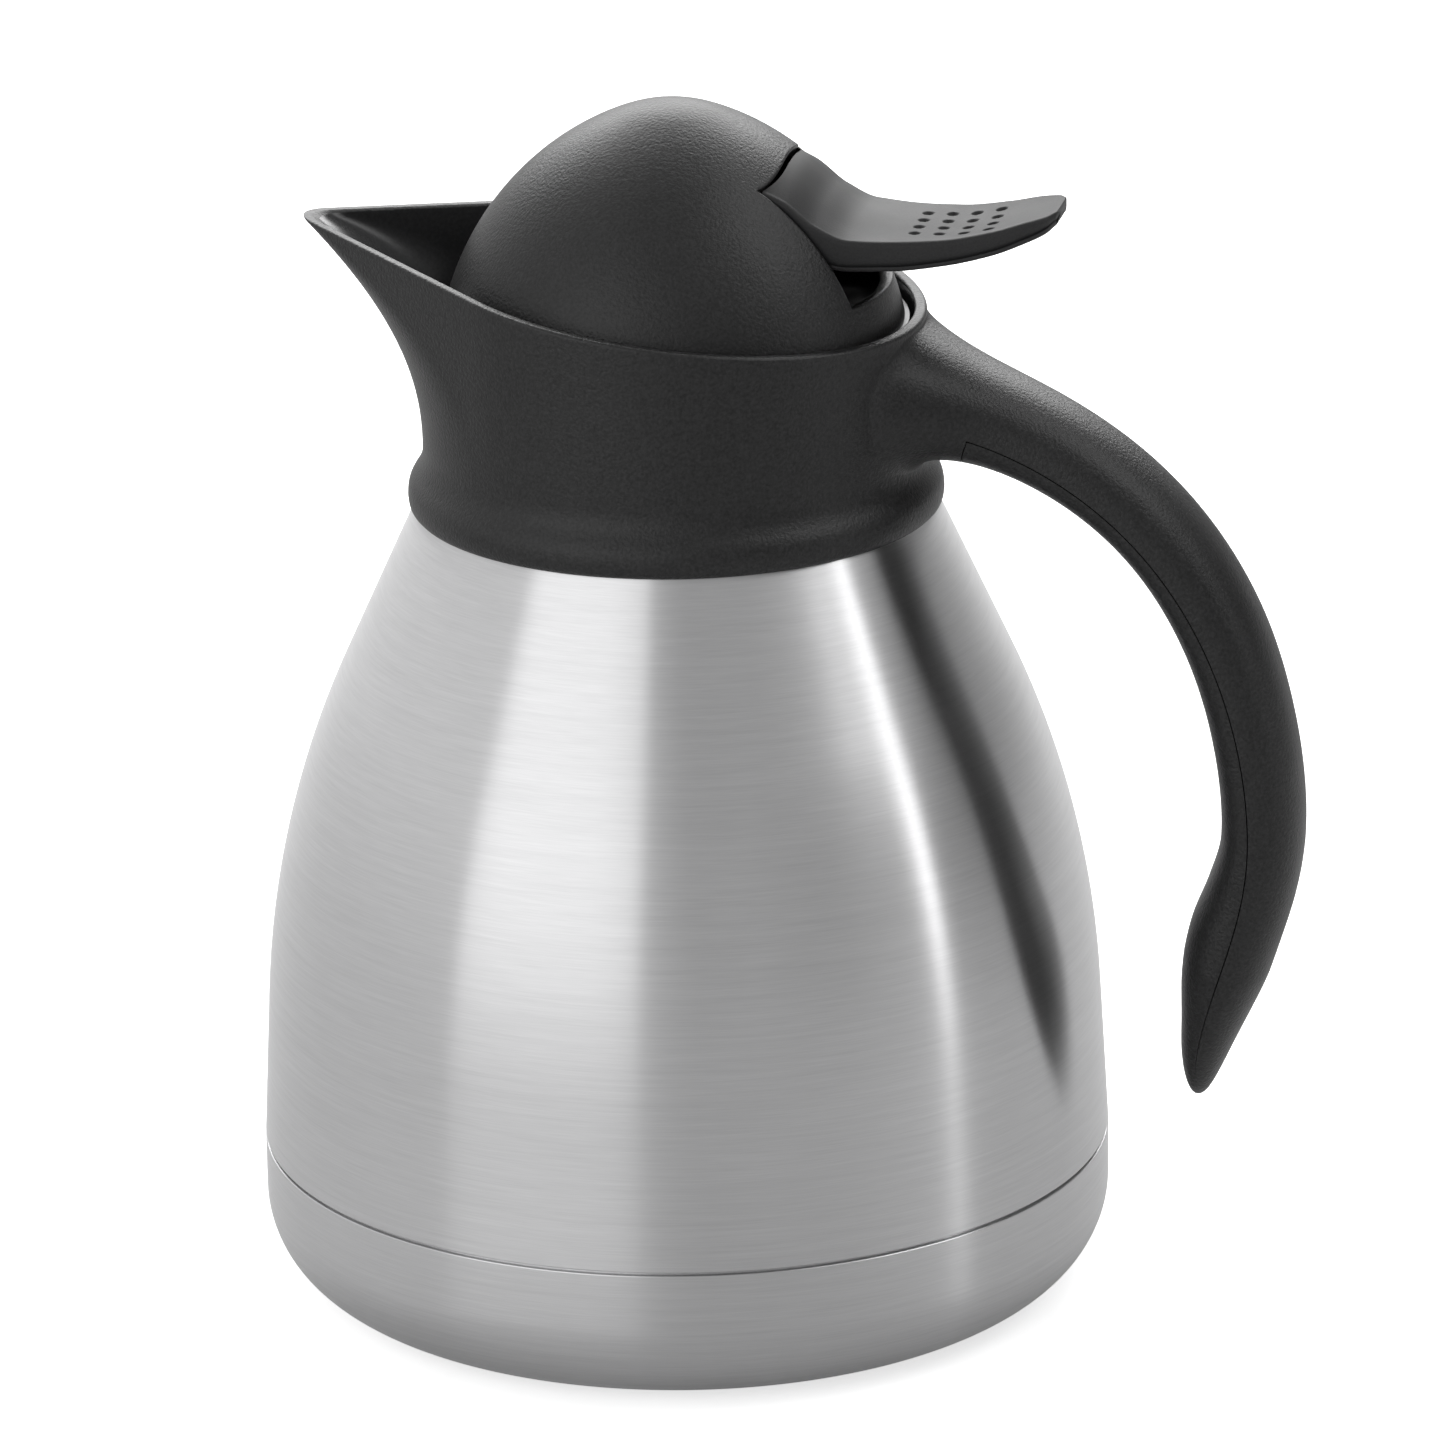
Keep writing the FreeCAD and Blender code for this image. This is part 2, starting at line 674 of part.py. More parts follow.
def cover_region(gap):
    """Block on the inner side of the parting line, kept back from it and from its start by gap."""
    upper, lower = handle_curves()
    begin = value("cover_start") + gap

    def offset_spot(curve, share):
        """Point beside the parting line, gap towards the inner side."""
        spot, way = bezier(*curve, share)
        return spot - Vector(-way.z, 0, way.x) * gap

    first, last = 0.0, 1.0
    for _ in range(HALVINGS):
        middle = (first + last) / 2
        if offset_spot(upper, middle).x < begin:
            first = middle
        else:
            last = middle
    line = [offset_spot(upper, share) for share in spread(last, 1.0, PARTING_STEPS)]
    line += [offset_spot(lower, share) for share in spread(0.0, 1.0, PARTING_STEPS)[1:]]
    edge = Part.BSplineCurve()
    edge.interpolate(line)
    below = 3 * value("handle_inner_depth")
    start = line[0] - Vector(0, 0, below)
    end = line[-1] - Vector(0, 0, below)
    back = Vector(start.x, 0, end.z)
    wire = Part.Wire([edge.toShape(), Part.makeLine(line[-1], end), Part.makeLine(end, back),
                      Part.makeLine(back, start), Part.makeLine(start, line[0])])
    width = value("handle_root_width")
    face = Part.Face(wire)
    face.translate(Vector(0, -width, 0))
    return face.extrude(Vector(0, 2 * width, 0))


def above_rim():
    """Block above the slanted rim plane."""
    span = value("spout_reach + handle_reach")
    block = Part.makeBox(2 * span, 2 * span, span, Vector(-span, -span, 0))
    block.rotate(Vector(0, 0, 0), Vector(0, 1, 0), value("rim_tilt"))
    block.translate(Vector(0, 0, value("mouth_height + rim_rise")))
    return block


def neck_bore():
    """Space inside the collar's foot: the steel shoulder and neck with clearance, and the shelf's hole."""
    clear = value("collar_clearance")
    lean = math.tan(math.radians(value("shoulder_lean")))
    foot = value(COLLAR_FOOT)
    neck = value(NECK_RADIUS)
    shoulder = value("shoulder_diameter / 2")
    skirt = value("bead_height")
    bore = value(RING_OUTER) + clear
    return revolve_points([
        (0, foot - skirt), (shoulder + clear + skirt * lean, foot - skirt),
        (neck + clear, foot + (shoulder - neck) / lean), (neck + clear, value(SHELF_LOW)),
        (bore, value(SHELF_LOW)), (bore, value(SHELF_TOP)), (0, value(SHELF_TOP))])


# Distance at which a point counts as lying on a plane
TOUCHING = 0.01


def rim_edges(shape):
    """Edges of a shape that lie on the slanted rim plane."""
    tilt = math.radians(value("rim_tilt"))
    up = Vector(math.sin(tilt), 0, math.cos(tilt))
    middle = Vector(0, 0, value("mouth_height + rim_rise"))
    return [edge for edge in shape.Edges
            if all(abs((corner.Point - middle).dot(up)) < TOUCHING for corner in edge.Vertexes)]


def make_collar():
    """Collar with bead, spout and the outer shell of the handle, moulded in one."""
    waist = value(WAIST)
    top = value("mouth_height + rim_rise + (spout_reach + collar_wall) * tan(rim_tilt) + collar_wall")
    heights = spread(value(BEAD_TOP), waist, 4)[:-1] + spread(waist, top, 8)
    cup = spout_solid(value("collar_wall"), spread(value(SHELF_TOP), top, 7))
    shape = spout_solid(0.0, heights).fuse(bead_solid()).cut(above_rim()).cut(cup)
    shape = shape.makeFillet(value("rim_edge_round"), rim_edges(shape))
    wall_middle = Part.makeCylinder(value("(collar_diameter - collar_wall) / 2"), 2 * top)
    grip = handle_solid().cut(wall_middle).cut(above_rim()).cut(cover_region(0.0)).cut(handle_core())
    shape = shape.cut(neck_bore()).fuse(grip)
    collar = keep("collar", DOC.addObject("Part::Feature", "collar"))
    collar.Shape = shape.Solids[0] if len(shape.Solids) == 1 else shape


def make_handle_cover():
    """Inner cover of the hollow handle."""
    shape = handle_solid().common(cover_region(value("parting_gap"))).cut(handle_core())
    cover = keep("handle_cover", DOC.addObject("Part::Feature", "handle_cover"))
    cover.Shape = shape.Solids[0] if len(shape.Solids) == 1 else shape


def make_mouth_gasket():
    """Flat ring between the steel lip and the collar's shelf."""
    inner = f"({RING_OUTER} + ring_clearance)"
    turned("mouth_gasket", [
        (inner, "mouth_height"),
        (NECK_RADIUS, "mouth_height"),
        (NECK_RADIUS, SHELF_LOW),
        (inner, SHELF_LOW),
    ])


def make_neck_ring():
    """Ring in the steel neck whose flange holds the collar's shelf down."""
    flange = "(collar_diameter / 2 - collar_wall - ring_clearance)"
    low = f"({SHELF_TOP} - ring_depth)"
    turned("neck_ring", [
        (RING_BORE, low),
        (RING_OUTER, low),
        (RING_OUTER, SHELF_TOP),
        (flange, SHELF_TOP),
        (flange, RING_TOP),
        (RING_BORE, RING_TOP),
    ])


# Lid


def make_stopper_body():
    """Hollow stopper: valve seat below, pouring windows, screw bosses and a flange above."""
    groove_low = f"({STOPPER_LOW} + seal_groove_rise)"
    groove = f"({STOPPER_RADIUS} - seal_depth)"
    flange = f"({DOME_FOOT} - carrier_clearance)"
    body = turned("stopper_body", [
        ("seat_diameter / 2", STOPPER_LOW),
        (STOPPER_RADIUS, STOPPER_LOW, "stopper_floor / 2"),
        (STOPPER_RADIUS, groove_low),
        (groove, groove_low),
        (groove, f"{groove_low} + seal_height"),
        (STOPPER_RADIUS, f"{groove_low} + seal_height"),
        (STOPPER_RADIUS, FLANGE_LOW),
        (flange, FLANGE_LOW),
        (flange, FLANGE_TOP),
        (STOPPER_BORE, FLANGE_TOP),
        (STOPPER_BORE, SEAT_TOP),
        ("seat_diameter / 2", SEAT_TOP),
    ])
    windows = new_sketch(body, "YZ_Plane", "windows")
    low = f"({FLANGE_LOW} - window_height)"
    for near, far in (("window_rib / 2", "window_rib / 2 + window_width"),
                      ("-window_rib / 2 - window_width", "-window_rib / 2")):
        draw_outline(windows, [(near, low), (far, low), (far, FLANGE_LOW), (near, FLANGE_LOW)])
    cut_pocket(body, windows, "window_cut", RING_OUTER, backward=False)
    air = new_sketch(body, "YZ_Plane", "air_hole")
    side = "air_hole_width / 2"
    draw_outline(air, [(f"-{side}", low), (side, low), (side, FLANGE_LOW), (f"-{side}", FLANGE_LOW)])
    cut_pocket(body, air, "air_cut", RING_OUTER, backward=True)
    boss = new_sketch(body, "XY_Plane", "boss", FLANGE_TOP)
    draw_circle(boss, f"{BOSS_RADIUS} * cos(180 / screw_count)",
                f"{BOSS_RADIUS} * sin(180 / screw_count)", "boss_diameter / 2")
    pad = raise_pad(body, boss, "boss_pad", "boss_length", upward=False)
    repeat_round(body, pad, "bosses", "screw_count")
    hole = new_sketch(body, "XY_Plane", "boss_hole", FLANGE_TOP)
    draw_circle(hole, f"{BOSS_RADIUS} * cos(180 / screw_count)",
                f"{BOSS_RADIUS} * sin(180 / screw_count)", "screw_diameter / 2 + press_clearance")
    drilled = cut_pocket(body, hole, "boss_hole_cut", "screw_length")
    repeat_round(body, drilled, "boss_holes", "screw_count")


def make_stopper_gasket():
    """Soft ring in the stopper's groove, just clear of the neck ring's bore."""
    low = f"({STOPPER_LOW} + seal_groove_rise)"
    inner = f"({STOPPER_RADIUS} - seal_depth + seal_clearance)"
    outer = f"({RING_BORE} - seal_clearance)"
    turned("stopper_gasket", [
        (inner, low),
        (outer, low, "seal_depth / 2"),
        (outer, f"{low} + seal_height", "seal_depth / 2"),
        (inner, f"{low} + seal_height"),
    ])


def make_lever_carrier():
    """Plate on the stopper with a guide hole and two ears for the lever's pin."""
    edge = f"({DOME_FOOT} - dome_wall - 2 * carrier_clearance)"
    bore = "(guide_diameter / 2 + press_clearance)"
    body = turned("lever_carrier", [
        (bore, FLANGE_TOP),
        (edge, FLANGE_TOP),
        (edge, CARRIER_TOP),
        (bore, CARRIER_TOP),
    ])
    ear = new_sketch(body, "XZ_Plane", "ear", "ear_gap / 2")
    draw_outline(ear, [
        ("pivot_reach - 2 * ear_round", f"{CARRIER_TOP} - carrier_thickness / 2"),
        ("pivot_reach + 2 * ear_round", f"{CARRIER_TOP} - carrier_thickness / 2"),
        ("pivot_reach + ear_round", f"{PIVOT_HEIGHT} + ear_round", "ear_corner"),
        ("pivot_reach - ear_round", f"{PIVOT_HEIGHT} + ear_round", "ear_corner"),
    ])
    pad = raise_pad(body, ear, "ear_pad", "ear_thickness")
    mirror = body.newObject("PartDesign::Mirrored", "lever_carrier_ears")
    mirror.Originals = [pad]
    plane = next(item for item in body.Origin.OriginFeatures if item.Role == "XZ_Plane")
    mirror.MirrorPlane = (plane, [""])
    body.Tip = mirror
    hole = new_sketch(body, "XZ_Plane", "pin_hole")
    draw_circle(hole, "pivot_reach", PIVOT_HEIGHT, "pin_diameter / 2 + press_clearance")
    cut_pocket(body, hole, "pin_hole_cut", "ear_gap + 4 * ear_thickness", symmetric=True)
    screws = new_sketch(body, "XY_Plane", "screw_hole", CARRIER_TOP)
    draw_circle(screws, f"{BOSS_RADIUS} * cos(180 / screw_count)",
                f"{BOSS_RADIUS} * sin(180 / screw_count)", "screw_diameter / 2 + press_clearance")
    drilled = cut_pocket(body, screws, "screw_hole_cut", "carrier_thickness")
    repeat_round(body, drilled, "screw_holes", "screw_count")


def make_carrier_screws():
    """Screws that hold the carrier on the stopper's bosses."""
    screws = []
    for i in range(int(value("screw_count"))):
        angle = f"({i} * 360 / screw_count + 180 / screw_count)"
        pieces = []
        for name, radius, height, low in (
                ("shank", "screw_diameter / 2", "screw_length", f"{CARRIER_TOP} - screw_length"),
                ("head", "screw_head_diameter / 2", "screw_head_height", CARRIER_TOP)):
            piece = DOC.addObject("Part::Cylinder", f"screw_{name}_{i}")
            piece.setExpression("Radius", bound(radius))
            piece.setExpression("Height", bound(height))
            piece.setExpression("Placement.Base.x", bound(f"{BOSS_RADIUS} * cos({angle})"))
            piece.setExpression("Placement.Base.y", bound(f"{BOSS_RADIUS} * sin({angle})"))
            piece.setExpression("Placement.Base.z", bound(low))
            pieces.append(piece)
        screw = DOC.addObject("Part::Fuse", f"screw_{i}")
        screw.Base, screw.Tool = pieces
        screws.append(screw)
    group = keep("carrier_screws", DOC.addObject("Part::Compound", "carrier_screws"))
    group.Links = screws


def dome_outline(sketch, inset, low):
    """Two tangent arcs from the crown to the foot, closed along the axis."""
    top = value(DOME_TOP)
    crown = value("dome_top_round")
    side = value("dome_side_round")
    joint = math.radians(value("dome_joint_angle"))
    foot = value(low)
    inward = value(inset)
    centre = Vector(value(DOME_SIDE_X), value(DOME_SIDE_Z), 0)
    begin = math.asin((foot - centre.y) / (side - inward))
    end = math.pi / 2 - joint
    crown_centre = Vector(0, top - crown, 0)
    flat = Vector(0, 0, 1)
    low_arc = sketch.addGeometry(Part.ArcOfCircle(Part.Circle(centre, flat, side - inward), begin, end))
    top_arc = sketch.addGeometry(
        Part.ArcOfCircle(Part.Circle(crown_centre, flat, crown - inward), end, math.pi / 2))
    edge = centre.x + (side - inward) * math.cos(begin)
    axis = sketch.addGeometry(Part.LineSegment(Vector(0, top - inward, 0), Vector(0, foot, 0)))
    base = sketch.addGeometry(Part.LineSegment(Vector(0, foot, 0), Vector(edge, foot, 0)))
    sketch.addConstraint(Sketcher.Constraint("Tangent", low_arc, 2, top_arc, 1))
    sketch.addConstraint(Sketcher.Constraint("Coincident", top_arc, 2, axis, 1))
    sketch.addConstraint(Sketcher.Constraint("Coincident", axis, 2, base, 1))
    sketch.addConstraint(Sketcher.Constraint("Coincident", base, 2, low_arc, 1))
    fix_point(sketch, top_arc, 3, "0", f"{DOME_TOP} - dome_top_round")
    fix_point(sketch, low_arc, 3, DOME_SIDE_X, DOME_SIDE_Z)
    fix_radius(sketch, top_arc, f"dome_top_round - ({inset})")
    fix_point(sketch, axis, 2, "0", low)
    sketch.addConstraint(Sketcher.Constraint("PointOnObject", axis, 1, -2))
    sketch.addConstraint(Sketcher.Constraint("Horizontal", base))


def make_dome_cover():
    """Domed cover that stands on the stopper's flange, with the slot for the lever."""
    body = new_body("dome_cover")
    sketch = new_sketch(body, "XZ_Plane", "outline")
    dome_outline(sketch, "0", FLANGE_TOP)
    turn(body, "Revolution", sketch, "turned")
    inside = new_sketch(body, "XZ_Plane", "inside")
    dome_outline(inside, "dome_wall", f"({FLANGE_TOP} - dome_wall)")
    turn(body, "Groove", inside, "inside_cut")
    slot = new_sketch(body, "XY_Plane", "slot", f"({FLANGE_TOP} + slot_rise)")
    radius = value("slot_radius")
    half = value("slot_width / 2")
    reach = value(DOME_FOOT) + half
    front = math.asin(half / radius)
    arc = slot.addGeometry(Part.ArcOfCircle(Part.Circle(Vector(), Vector(0, 0, 1), radius), -front, front))
    near = radius * math.cos(front)
    corners = [Vector(near, half), Vector(reach, half), Vector(reach, -half), Vector(near, -half)]
    sides = [slot.addGeometry(Part.LineSegment(corners[i], corners[i + 1])) for i in range(3)]
    slot.addConstraint(Sketcher.Constraint("Coincident", arc, 2, sides[0], 1))
    slot.addConstraint(Sketcher.Constraint("Coincident", sides[0], 2, sides[1], 1))
    slot.addConstraint(Sketcher.Constraint("Coincident", sides[1], 2, sides[2], 1))
    slot.addConstraint(Sketcher.Constraint("Coincident", sides[2], 2, arc, 1))
    slot.addConstraint(Sketcher.Constraint("Coincident", arc, 3, -1, 1))
    fix_radius(slot, arc, "slot_radius")
    slot.addConstraint(Sketcher.Constraint("Horizontal", sides[0]))
    slot.addConstraint(Sketcher.Constraint("Horizontal", sides[2]))
    fix_point(slot, sides[1], 1, f"{DOME_FOOT} + slot_width / 2", "slot_width / 2")
    fix_point(slot, sides[2], 1, f"{DOME_FOOT} + slot_width / 2", "-slot_width / 2")
    cut_pocket(body, slot, "slot_cut", "dome_height", backward=True)


def make_lever_pin():
    """Hinge pin across the ears."""
    pin = keep("lever_pin", DOC.addObject("Part::Cylinder", "lever_pin"))
    length = "(ear_gap + 2 * ear_thickness)"
    pin.setExpression("Radius", bound("pin_diameter / 2"))
    pin.setExpression("Height", bound(length))
    pin.Placement.Rotation = FreeCAD.Rotation(Vector(1, 0, 0), -90)
    pin.setExpression("Placement.Base.x", bound("pivot_reach"))
    pin.setExpression("Placement.Base.y", bound(f"-{length} / 2"))
    pin.setExpression("Placement.Base.z", bound(PIVOT_HEIGHT))


# Sections of the lever: share of the reach, share of the width, and the drops below the
# dome's top of the top at mid plane, the top at the edges and the underside
LEVER_SECTIONS = [
    (0.22, 1.00, 5.6, 9.4, 14.6),
    (0.32, 1.00, 9.2, 12.0, 17.0),
    (0.40, 1.00, 13.9, 16.2, 21.9),
    (0.48, 0.93, 18.0, 18.9, 23.1),
    (0.58, 0.77, 20.0, 19.7, 23.1),
    (0.70, 0.67, 20.3, 19.7, 22.6),
    (0.82, 0.57, 19.1, 18.5, 21.1),
    (0.92, 0.41, 17.0, 16.5, 18.9),
    (0.975, 0.24, 15.6, 15.3, 17.4),
    (1.00, 0.06, 14.9, 14.8, 16.4),
]


def lever_skin():
    """Thumb lever from the slot to its tip: arched at the root, dished at the pad, clear of the ears."""
    top = value(DOME_TOP)
    reach = value("lever_reach")
    half = value("lever_width / 2")
    wires = []
    for along, across, middle, edge, under in LEVER_SECTIONS:
        x, y = reach * along, half * across
        left = Vector(x, -y, top - edge)
        right = Vector(x, y, top - edge)
        low_left = Vector(x, -y, top - under)
        low_right = Vector(x, y, top - under)
        wires.append(Part.Wire([
            Part.Arc(left, Vector(x, 0, top - middle), right).toShape(),
            Part.makeLine(right, low_right), Part.makeLine(low_right, low_left),
            Part.makeLine(low_left, left)]))
    skin = Part.makeLoft(wires, True, False)
    front = Part.makeCylinder(value("slot_radius + lever_clearance"), 2 * top)
    width = Part.makeBox(2 * reach, 2 * half, 2 * top, Vector(0, -half, 0))
    skin = skin.cut(front).common(width)
    pivot = Vector(value("pivot_reach"), 0, value(PIVOT_HEIGHT))
    room = math.hypot(value("ear_round"), value("ear_round")) + value("lever_clearance")
    inner = value("ear_gap / 2 - lever_clearance")
    for side in (1, -1):
        across = Vector(0, side, 0)
        skin = skin.cut(Part.makeCylinder(room, half, pivot + across * inner, across))
    return skin


def lever_arm():
    """Hub on the pin, a web under the skin and two fork prongs with round pads."""
    pivot = Vector(value("pivot_reach"), 0, value(PIVOT_HEIGHT))
    hub_radius = value("hub_diameter / 2")
    gap = value("lever_clearance")
    wide = value("ear_gap") - 2 * gap
    across = Vector(0, 1, 0)
    hub = Part.makeCylinder(hub_radius, wide, pivot - across * (wide / 2), across)
    joint = value("slot_radius + lever_clearance + lever_skin")
    low = pivot.z - hub_radius
    web = Part.makePolygon([
        Vector(pivot.x, -wide / 2, low), Vector(joint + hub_radius, -wide / 2, low),
        Vector(joint + hub_radius, -wide / 2, pivot.z), Vector(joint, -wide / 2, pivot.z + hub_radius),
        Vector(pivot.x, -wide / 2, pivot.z + hub_radius), Vector(pivot.x, -wide / 2, low)])
    arm = hub.fuse(Part.Face(web).extrude(across * wide))
    pad_radius = value("fork_pad_diameter / 2")
    prong = value("fork_width")
    depth = value("fork_depth")
    clear = value("stem_diameter / 2") + gap
    fork = value(FORK_HEIGHT)
    for side in (clear, -clear - prong):
        arm = arm.fuse(Part.makeBox(pivot.x, prong, depth, Vector(0, side, fork - pad_radius)))
        arm = arm.fuse(Part.makeCylinder(pad_radius, prong, Vector(0, side, fork), across))
    bore = value("pin_diameter / 2 + pin_clearance")
    return arm, Part.makeCylinder(bore, 2 * wide, pivot - across * wide, across)


def lever_dots():
    """Rows of small round dents in the thumb pad."""
    count = int(value("dot_count"))
    pitch = value("dot_pitch")
    row_pitch = value("dot_row_pitch")
    radius = value("dot_diameter / 2")
    top = value(DOME_TOP)
    reach = value("lever_reach")
    dots = []
    for i in range(count):
        x = value("dot_start") + i * pitch
        above = [s for s in LEVER_SECTIONS if s[0] * reach <= x][-1]
        beyond = [s for s in LEVER_SECTIONS if s[0] * reach > x][0]
        share = (x / reach - above[0]) / (beyond[0] - above[0])
        drop = above[2] + share * (beyond[2] - above[2])
        for j in range(count):
            y = (j - (count - 1) / 2) * row_pitch
            low = Vector(x, y, top - drop - value("dot_depth"))
            dots.append(Part.makeCylinder(radius, pitch, low))
    return Part.makeCompound(dots)


def make_pour_lever():
    """Lever that swings on the pin and lifts the valve by its fork."""
    arm, bore = lever_arm()
    shape = lever_skin().fuse(arm).cut(bore).cut(lever_dots())
    lever = keep("pour_lever", DOC.addObject("Part::Feature", "pour_lever"))
    lever.Shape = shape.Solids[0] if len(shape.Solids) == 1 else shape


def make_stem_guide():
    """Flanged bush in the carrier that guides the valve stem."""
    bore = "(stem_diameter / 2 + stem_clearance)"
    turned("stem_guide", [
        (bore, f"{FLANGE_TOP} - guide_depth"),
        ("guide_diameter / 2", f"{FLANGE_TOP} - guide_depth"),
        ("guide_diameter / 2", CARRIER_TOP),
        ("guide_flange_diameter / 2", CARRIER_TOP),
        ("guide_flange_diameter / 2", f"{CARRIER_TOP} + guide_flange"),
        (bore, f"{CARRIER_TOP} + guide_flange"),
    ])


def make_valve():
    """Stem, cap, disc and soft washer of the pouring valve."""
    rod = "(stem_diameter / 2)"
    hole = "(stem_diameter / 2 + press_clearance)"
    turned("valve_stem", [
        ("0", f"{SEAT_TOP} - stem_foot_height"),
        ("stem_foot_diameter / 2", f"{SEAT_TOP} - stem_foot_height", "stem_foot_height / 4"),
        ("stem_foot_diameter / 2", SEAT_TOP),
        (rod, SEAT_TOP),
        (rod, f"{CAP_LOW} + stem_cap_height / 2"),
        ("0", f"{CAP_LOW} + stem_cap_height / 2"),
    ])
    turned("stem_cap", [
        (hole, CAP_LOW),
        ("stem_cap_diameter / 2", CAP_LOW),
        ("stem_cap_diameter / 2", f"{CAP_LOW} + stem_cap_height", "stem_cap_height / 3"),
        ("0", f"{CAP_LOW} + stem_cap_height"),
        ("0", f"{CAP_LOW} + stem_cap_height / 2"),
        (hole, f"{CAP_LOW} + stem_cap_height / 2"),
    ])
    turned("valve_seal", [
        (hole, SEAT_TOP),
        ("valve_diameter / 2", SEAT_TOP),
        ("valve_diameter / 2", VALVE_LOW),
        (hole, VALVE_LOW),
    ])
    turned("valve_head", [
        (hole, VALVE_LOW),
        ("valve_diameter / 2", VALVE_LOW),
        ("valve_diameter / 2", f"{VALVE_LOW} + valve_thickness / 2"),
        ("spring_diameter / 2 + 2 * spring_wire", VALVE_TOP),
        (hole, VALVE_TOP),
    ])


def biarc(start, start_way, end, end_way):
    """Two tangent arcs from a point and direction to another, as edges."""
    chord = end - start
    both = start_way + end_way
    spread = 2 * (1 - start_way.dot(end_way))
    along = chord.dot(both)
    pull = (math.sqrt(along ** 2 + spread * chord.dot(chord)) - along) / spread
    joint = (start + end + (start_way - end_way) * pull) * 0.5
    edges = []
    for first, way, last in ((start, start_way, joint), (end, end_way * -1, joint)):
        step = last - first
        normal = step - way * step.dot(way)
        radius = step.dot(step) / (2 * normal.Length)
        centre = first + normal.normalize() * radius
        middle = centre + ((first + last) * 0.5 - centre).normalize() * radius
        edges.append(Part.Arc(first, middle, last).toShape())
    return edges


def make_valve_spring():
    """Coil spring between the valve disc and the carrier, one unbroken wire on biarcs."""
    radius = value("spring_diameter / 2")
    wire = value("spring_wire")
    turns = int(value("spring_turns"))
    low = value(f"{VALVE_TOP} + spring_seat_gap + spring_wire / 2")
    high = value(f"{FLANGE_TOP} - spring_seat_gap - spring_wire / 2")
    pitch = (high - low) / turns

    def spot(share):
        """Point and direction after a share of a turn."""
        angle = 2 * math.pi * share
        place = Vector(radius * math.cos(angle), radius * math.sin(angle), low + pitch * share)
        way = Vector(-math.sin(angle), math.cos(angle), pitch / (2 * math.pi * radius))
        return place, way.normalize()

    edges = []
    for i in range(4 * turns):
        first, second = biarc(*spot(i / 4), *spot((i + 1) / 4))
        edges += [first, second]
    path = Part.Wire(Part.__sortEdges__(edges))
    start, way = spot(0)
    profile = Part.Wire([Part.makeCircle(wire / 2, start, way)])
    coil = keep("valve_spring", DOC.addObject("Part::Feature", "valve_spring"))
    coil.Shape = path.makePipeShell([profile], True, False)
    samples = [spot(i / 24)[0] for i in range(24 * turns + 1)]
    least = min((a - b).Length for i, a in enumerate(samples) for b in samples[i + 12:]) - wire
    print("valve_spring: least gap to itself %.2f mm" % least)


def check_and_export():
    """Stop at any failed object or bad shape, then write every sub-part."""
    DOC.recompute()
    for thing in DOC.Objects:
        if "Invalid" in thing.State or "Error" in thing.State:
            raise RuntimeError(f"{thing.Name} failed: {thing.State}")
    for label, thing in SUB_PARTS.items():
        shape = thing.Shape
        if shape.isNull() or not shape.isValid():
            raise RuntimeError(f"{label} has no valid shape")
    os.makedirs("parts", exist_ok=True)
    for label, thing in SUB_PARTS.items():
        thing.Shape.exportStep(f"parts/{label}.step")
        print("%-20s %9.1f mm3 in %d solids" % (label, thing.Shape.Volume, len(thing.Shape.Solids)))


make_outer_shell()
make_base_cup()
make_inner_flask()
make_inner_flask_bottom()
make_getter()
make_vacuum_plug()
make_collar()
make_handle_cover()
make_mouth_gasket()
make_neck_ring()
make_stopper_body()
make_stopper_gasket()
make_lever_carrier()
make_carrier_screws()
make_dome_cover()
make_lever_pin()
make_pour_lever()
make_stem_guide()
make_valve()
make_valve_spring()
check_and_export()
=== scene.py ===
"""Looks of the insulated coffee pot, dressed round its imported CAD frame.

The CAD frame gives the place of every body. The large visible pieces are smooth numpy
surfaces that stand for their CAD nodes; the inner pieces are the CAD nodes themselves
with procedural finishes. Sizes are millimetres until a mesh is made.
"""
import logging
import math
from dataclasses import dataclass, field
from enum import Enum
from typing import Callable, Sequence

import bmesh
import bpy
import numpy as np
from mathutils import Matrix, Vector


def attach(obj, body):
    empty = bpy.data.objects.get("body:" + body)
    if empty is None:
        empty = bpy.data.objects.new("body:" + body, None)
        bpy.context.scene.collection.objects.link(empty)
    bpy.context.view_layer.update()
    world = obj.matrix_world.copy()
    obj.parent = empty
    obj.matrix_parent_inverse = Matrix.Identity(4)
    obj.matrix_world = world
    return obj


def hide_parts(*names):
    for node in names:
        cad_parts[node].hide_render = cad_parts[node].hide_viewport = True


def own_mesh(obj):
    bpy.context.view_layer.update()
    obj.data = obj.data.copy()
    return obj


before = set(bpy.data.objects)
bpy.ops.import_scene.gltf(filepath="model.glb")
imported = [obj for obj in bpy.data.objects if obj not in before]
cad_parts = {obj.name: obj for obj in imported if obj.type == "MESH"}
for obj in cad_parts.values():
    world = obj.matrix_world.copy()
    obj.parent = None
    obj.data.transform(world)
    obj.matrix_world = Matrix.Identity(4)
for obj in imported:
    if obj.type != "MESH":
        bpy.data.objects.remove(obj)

LOG = logging.getLogger("coffee_pot")
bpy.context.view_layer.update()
MM = 0.001
WHITE = (1.0, 1.0, 1.0, 1.0)
Socket = bpy.types.NodeSocket


class Body(str, Enum):
    """CAD bodies that pieces ride on."""

    VESSEL = "vessel"
    LID = "lid"
    LEVER = "lever"


class Finish(Enum):
    """Finishes of the pot, by the names of their material slots."""

    BRUSHED_SHELL = "brushed_shell"
    INNER_STEEL = "inner_steel"
    BLACK_MOULDING = "black_moulding"
    # Inner face of the collar: a glossier face of the same black moulding, with a lighter grey that is
    # painted light.
    GLOSSY_PAINTED_LIGHT_INSIDE = "glossy_painted_light_inside"
    LEVER_MOULDING = "lever_moulding"
    LID_INNER = "lid_inner"
    SILICONE = "silicone"
    SPRING_WIRE = "spring_wire"
    SOLDER = "solder"


# Surfaces


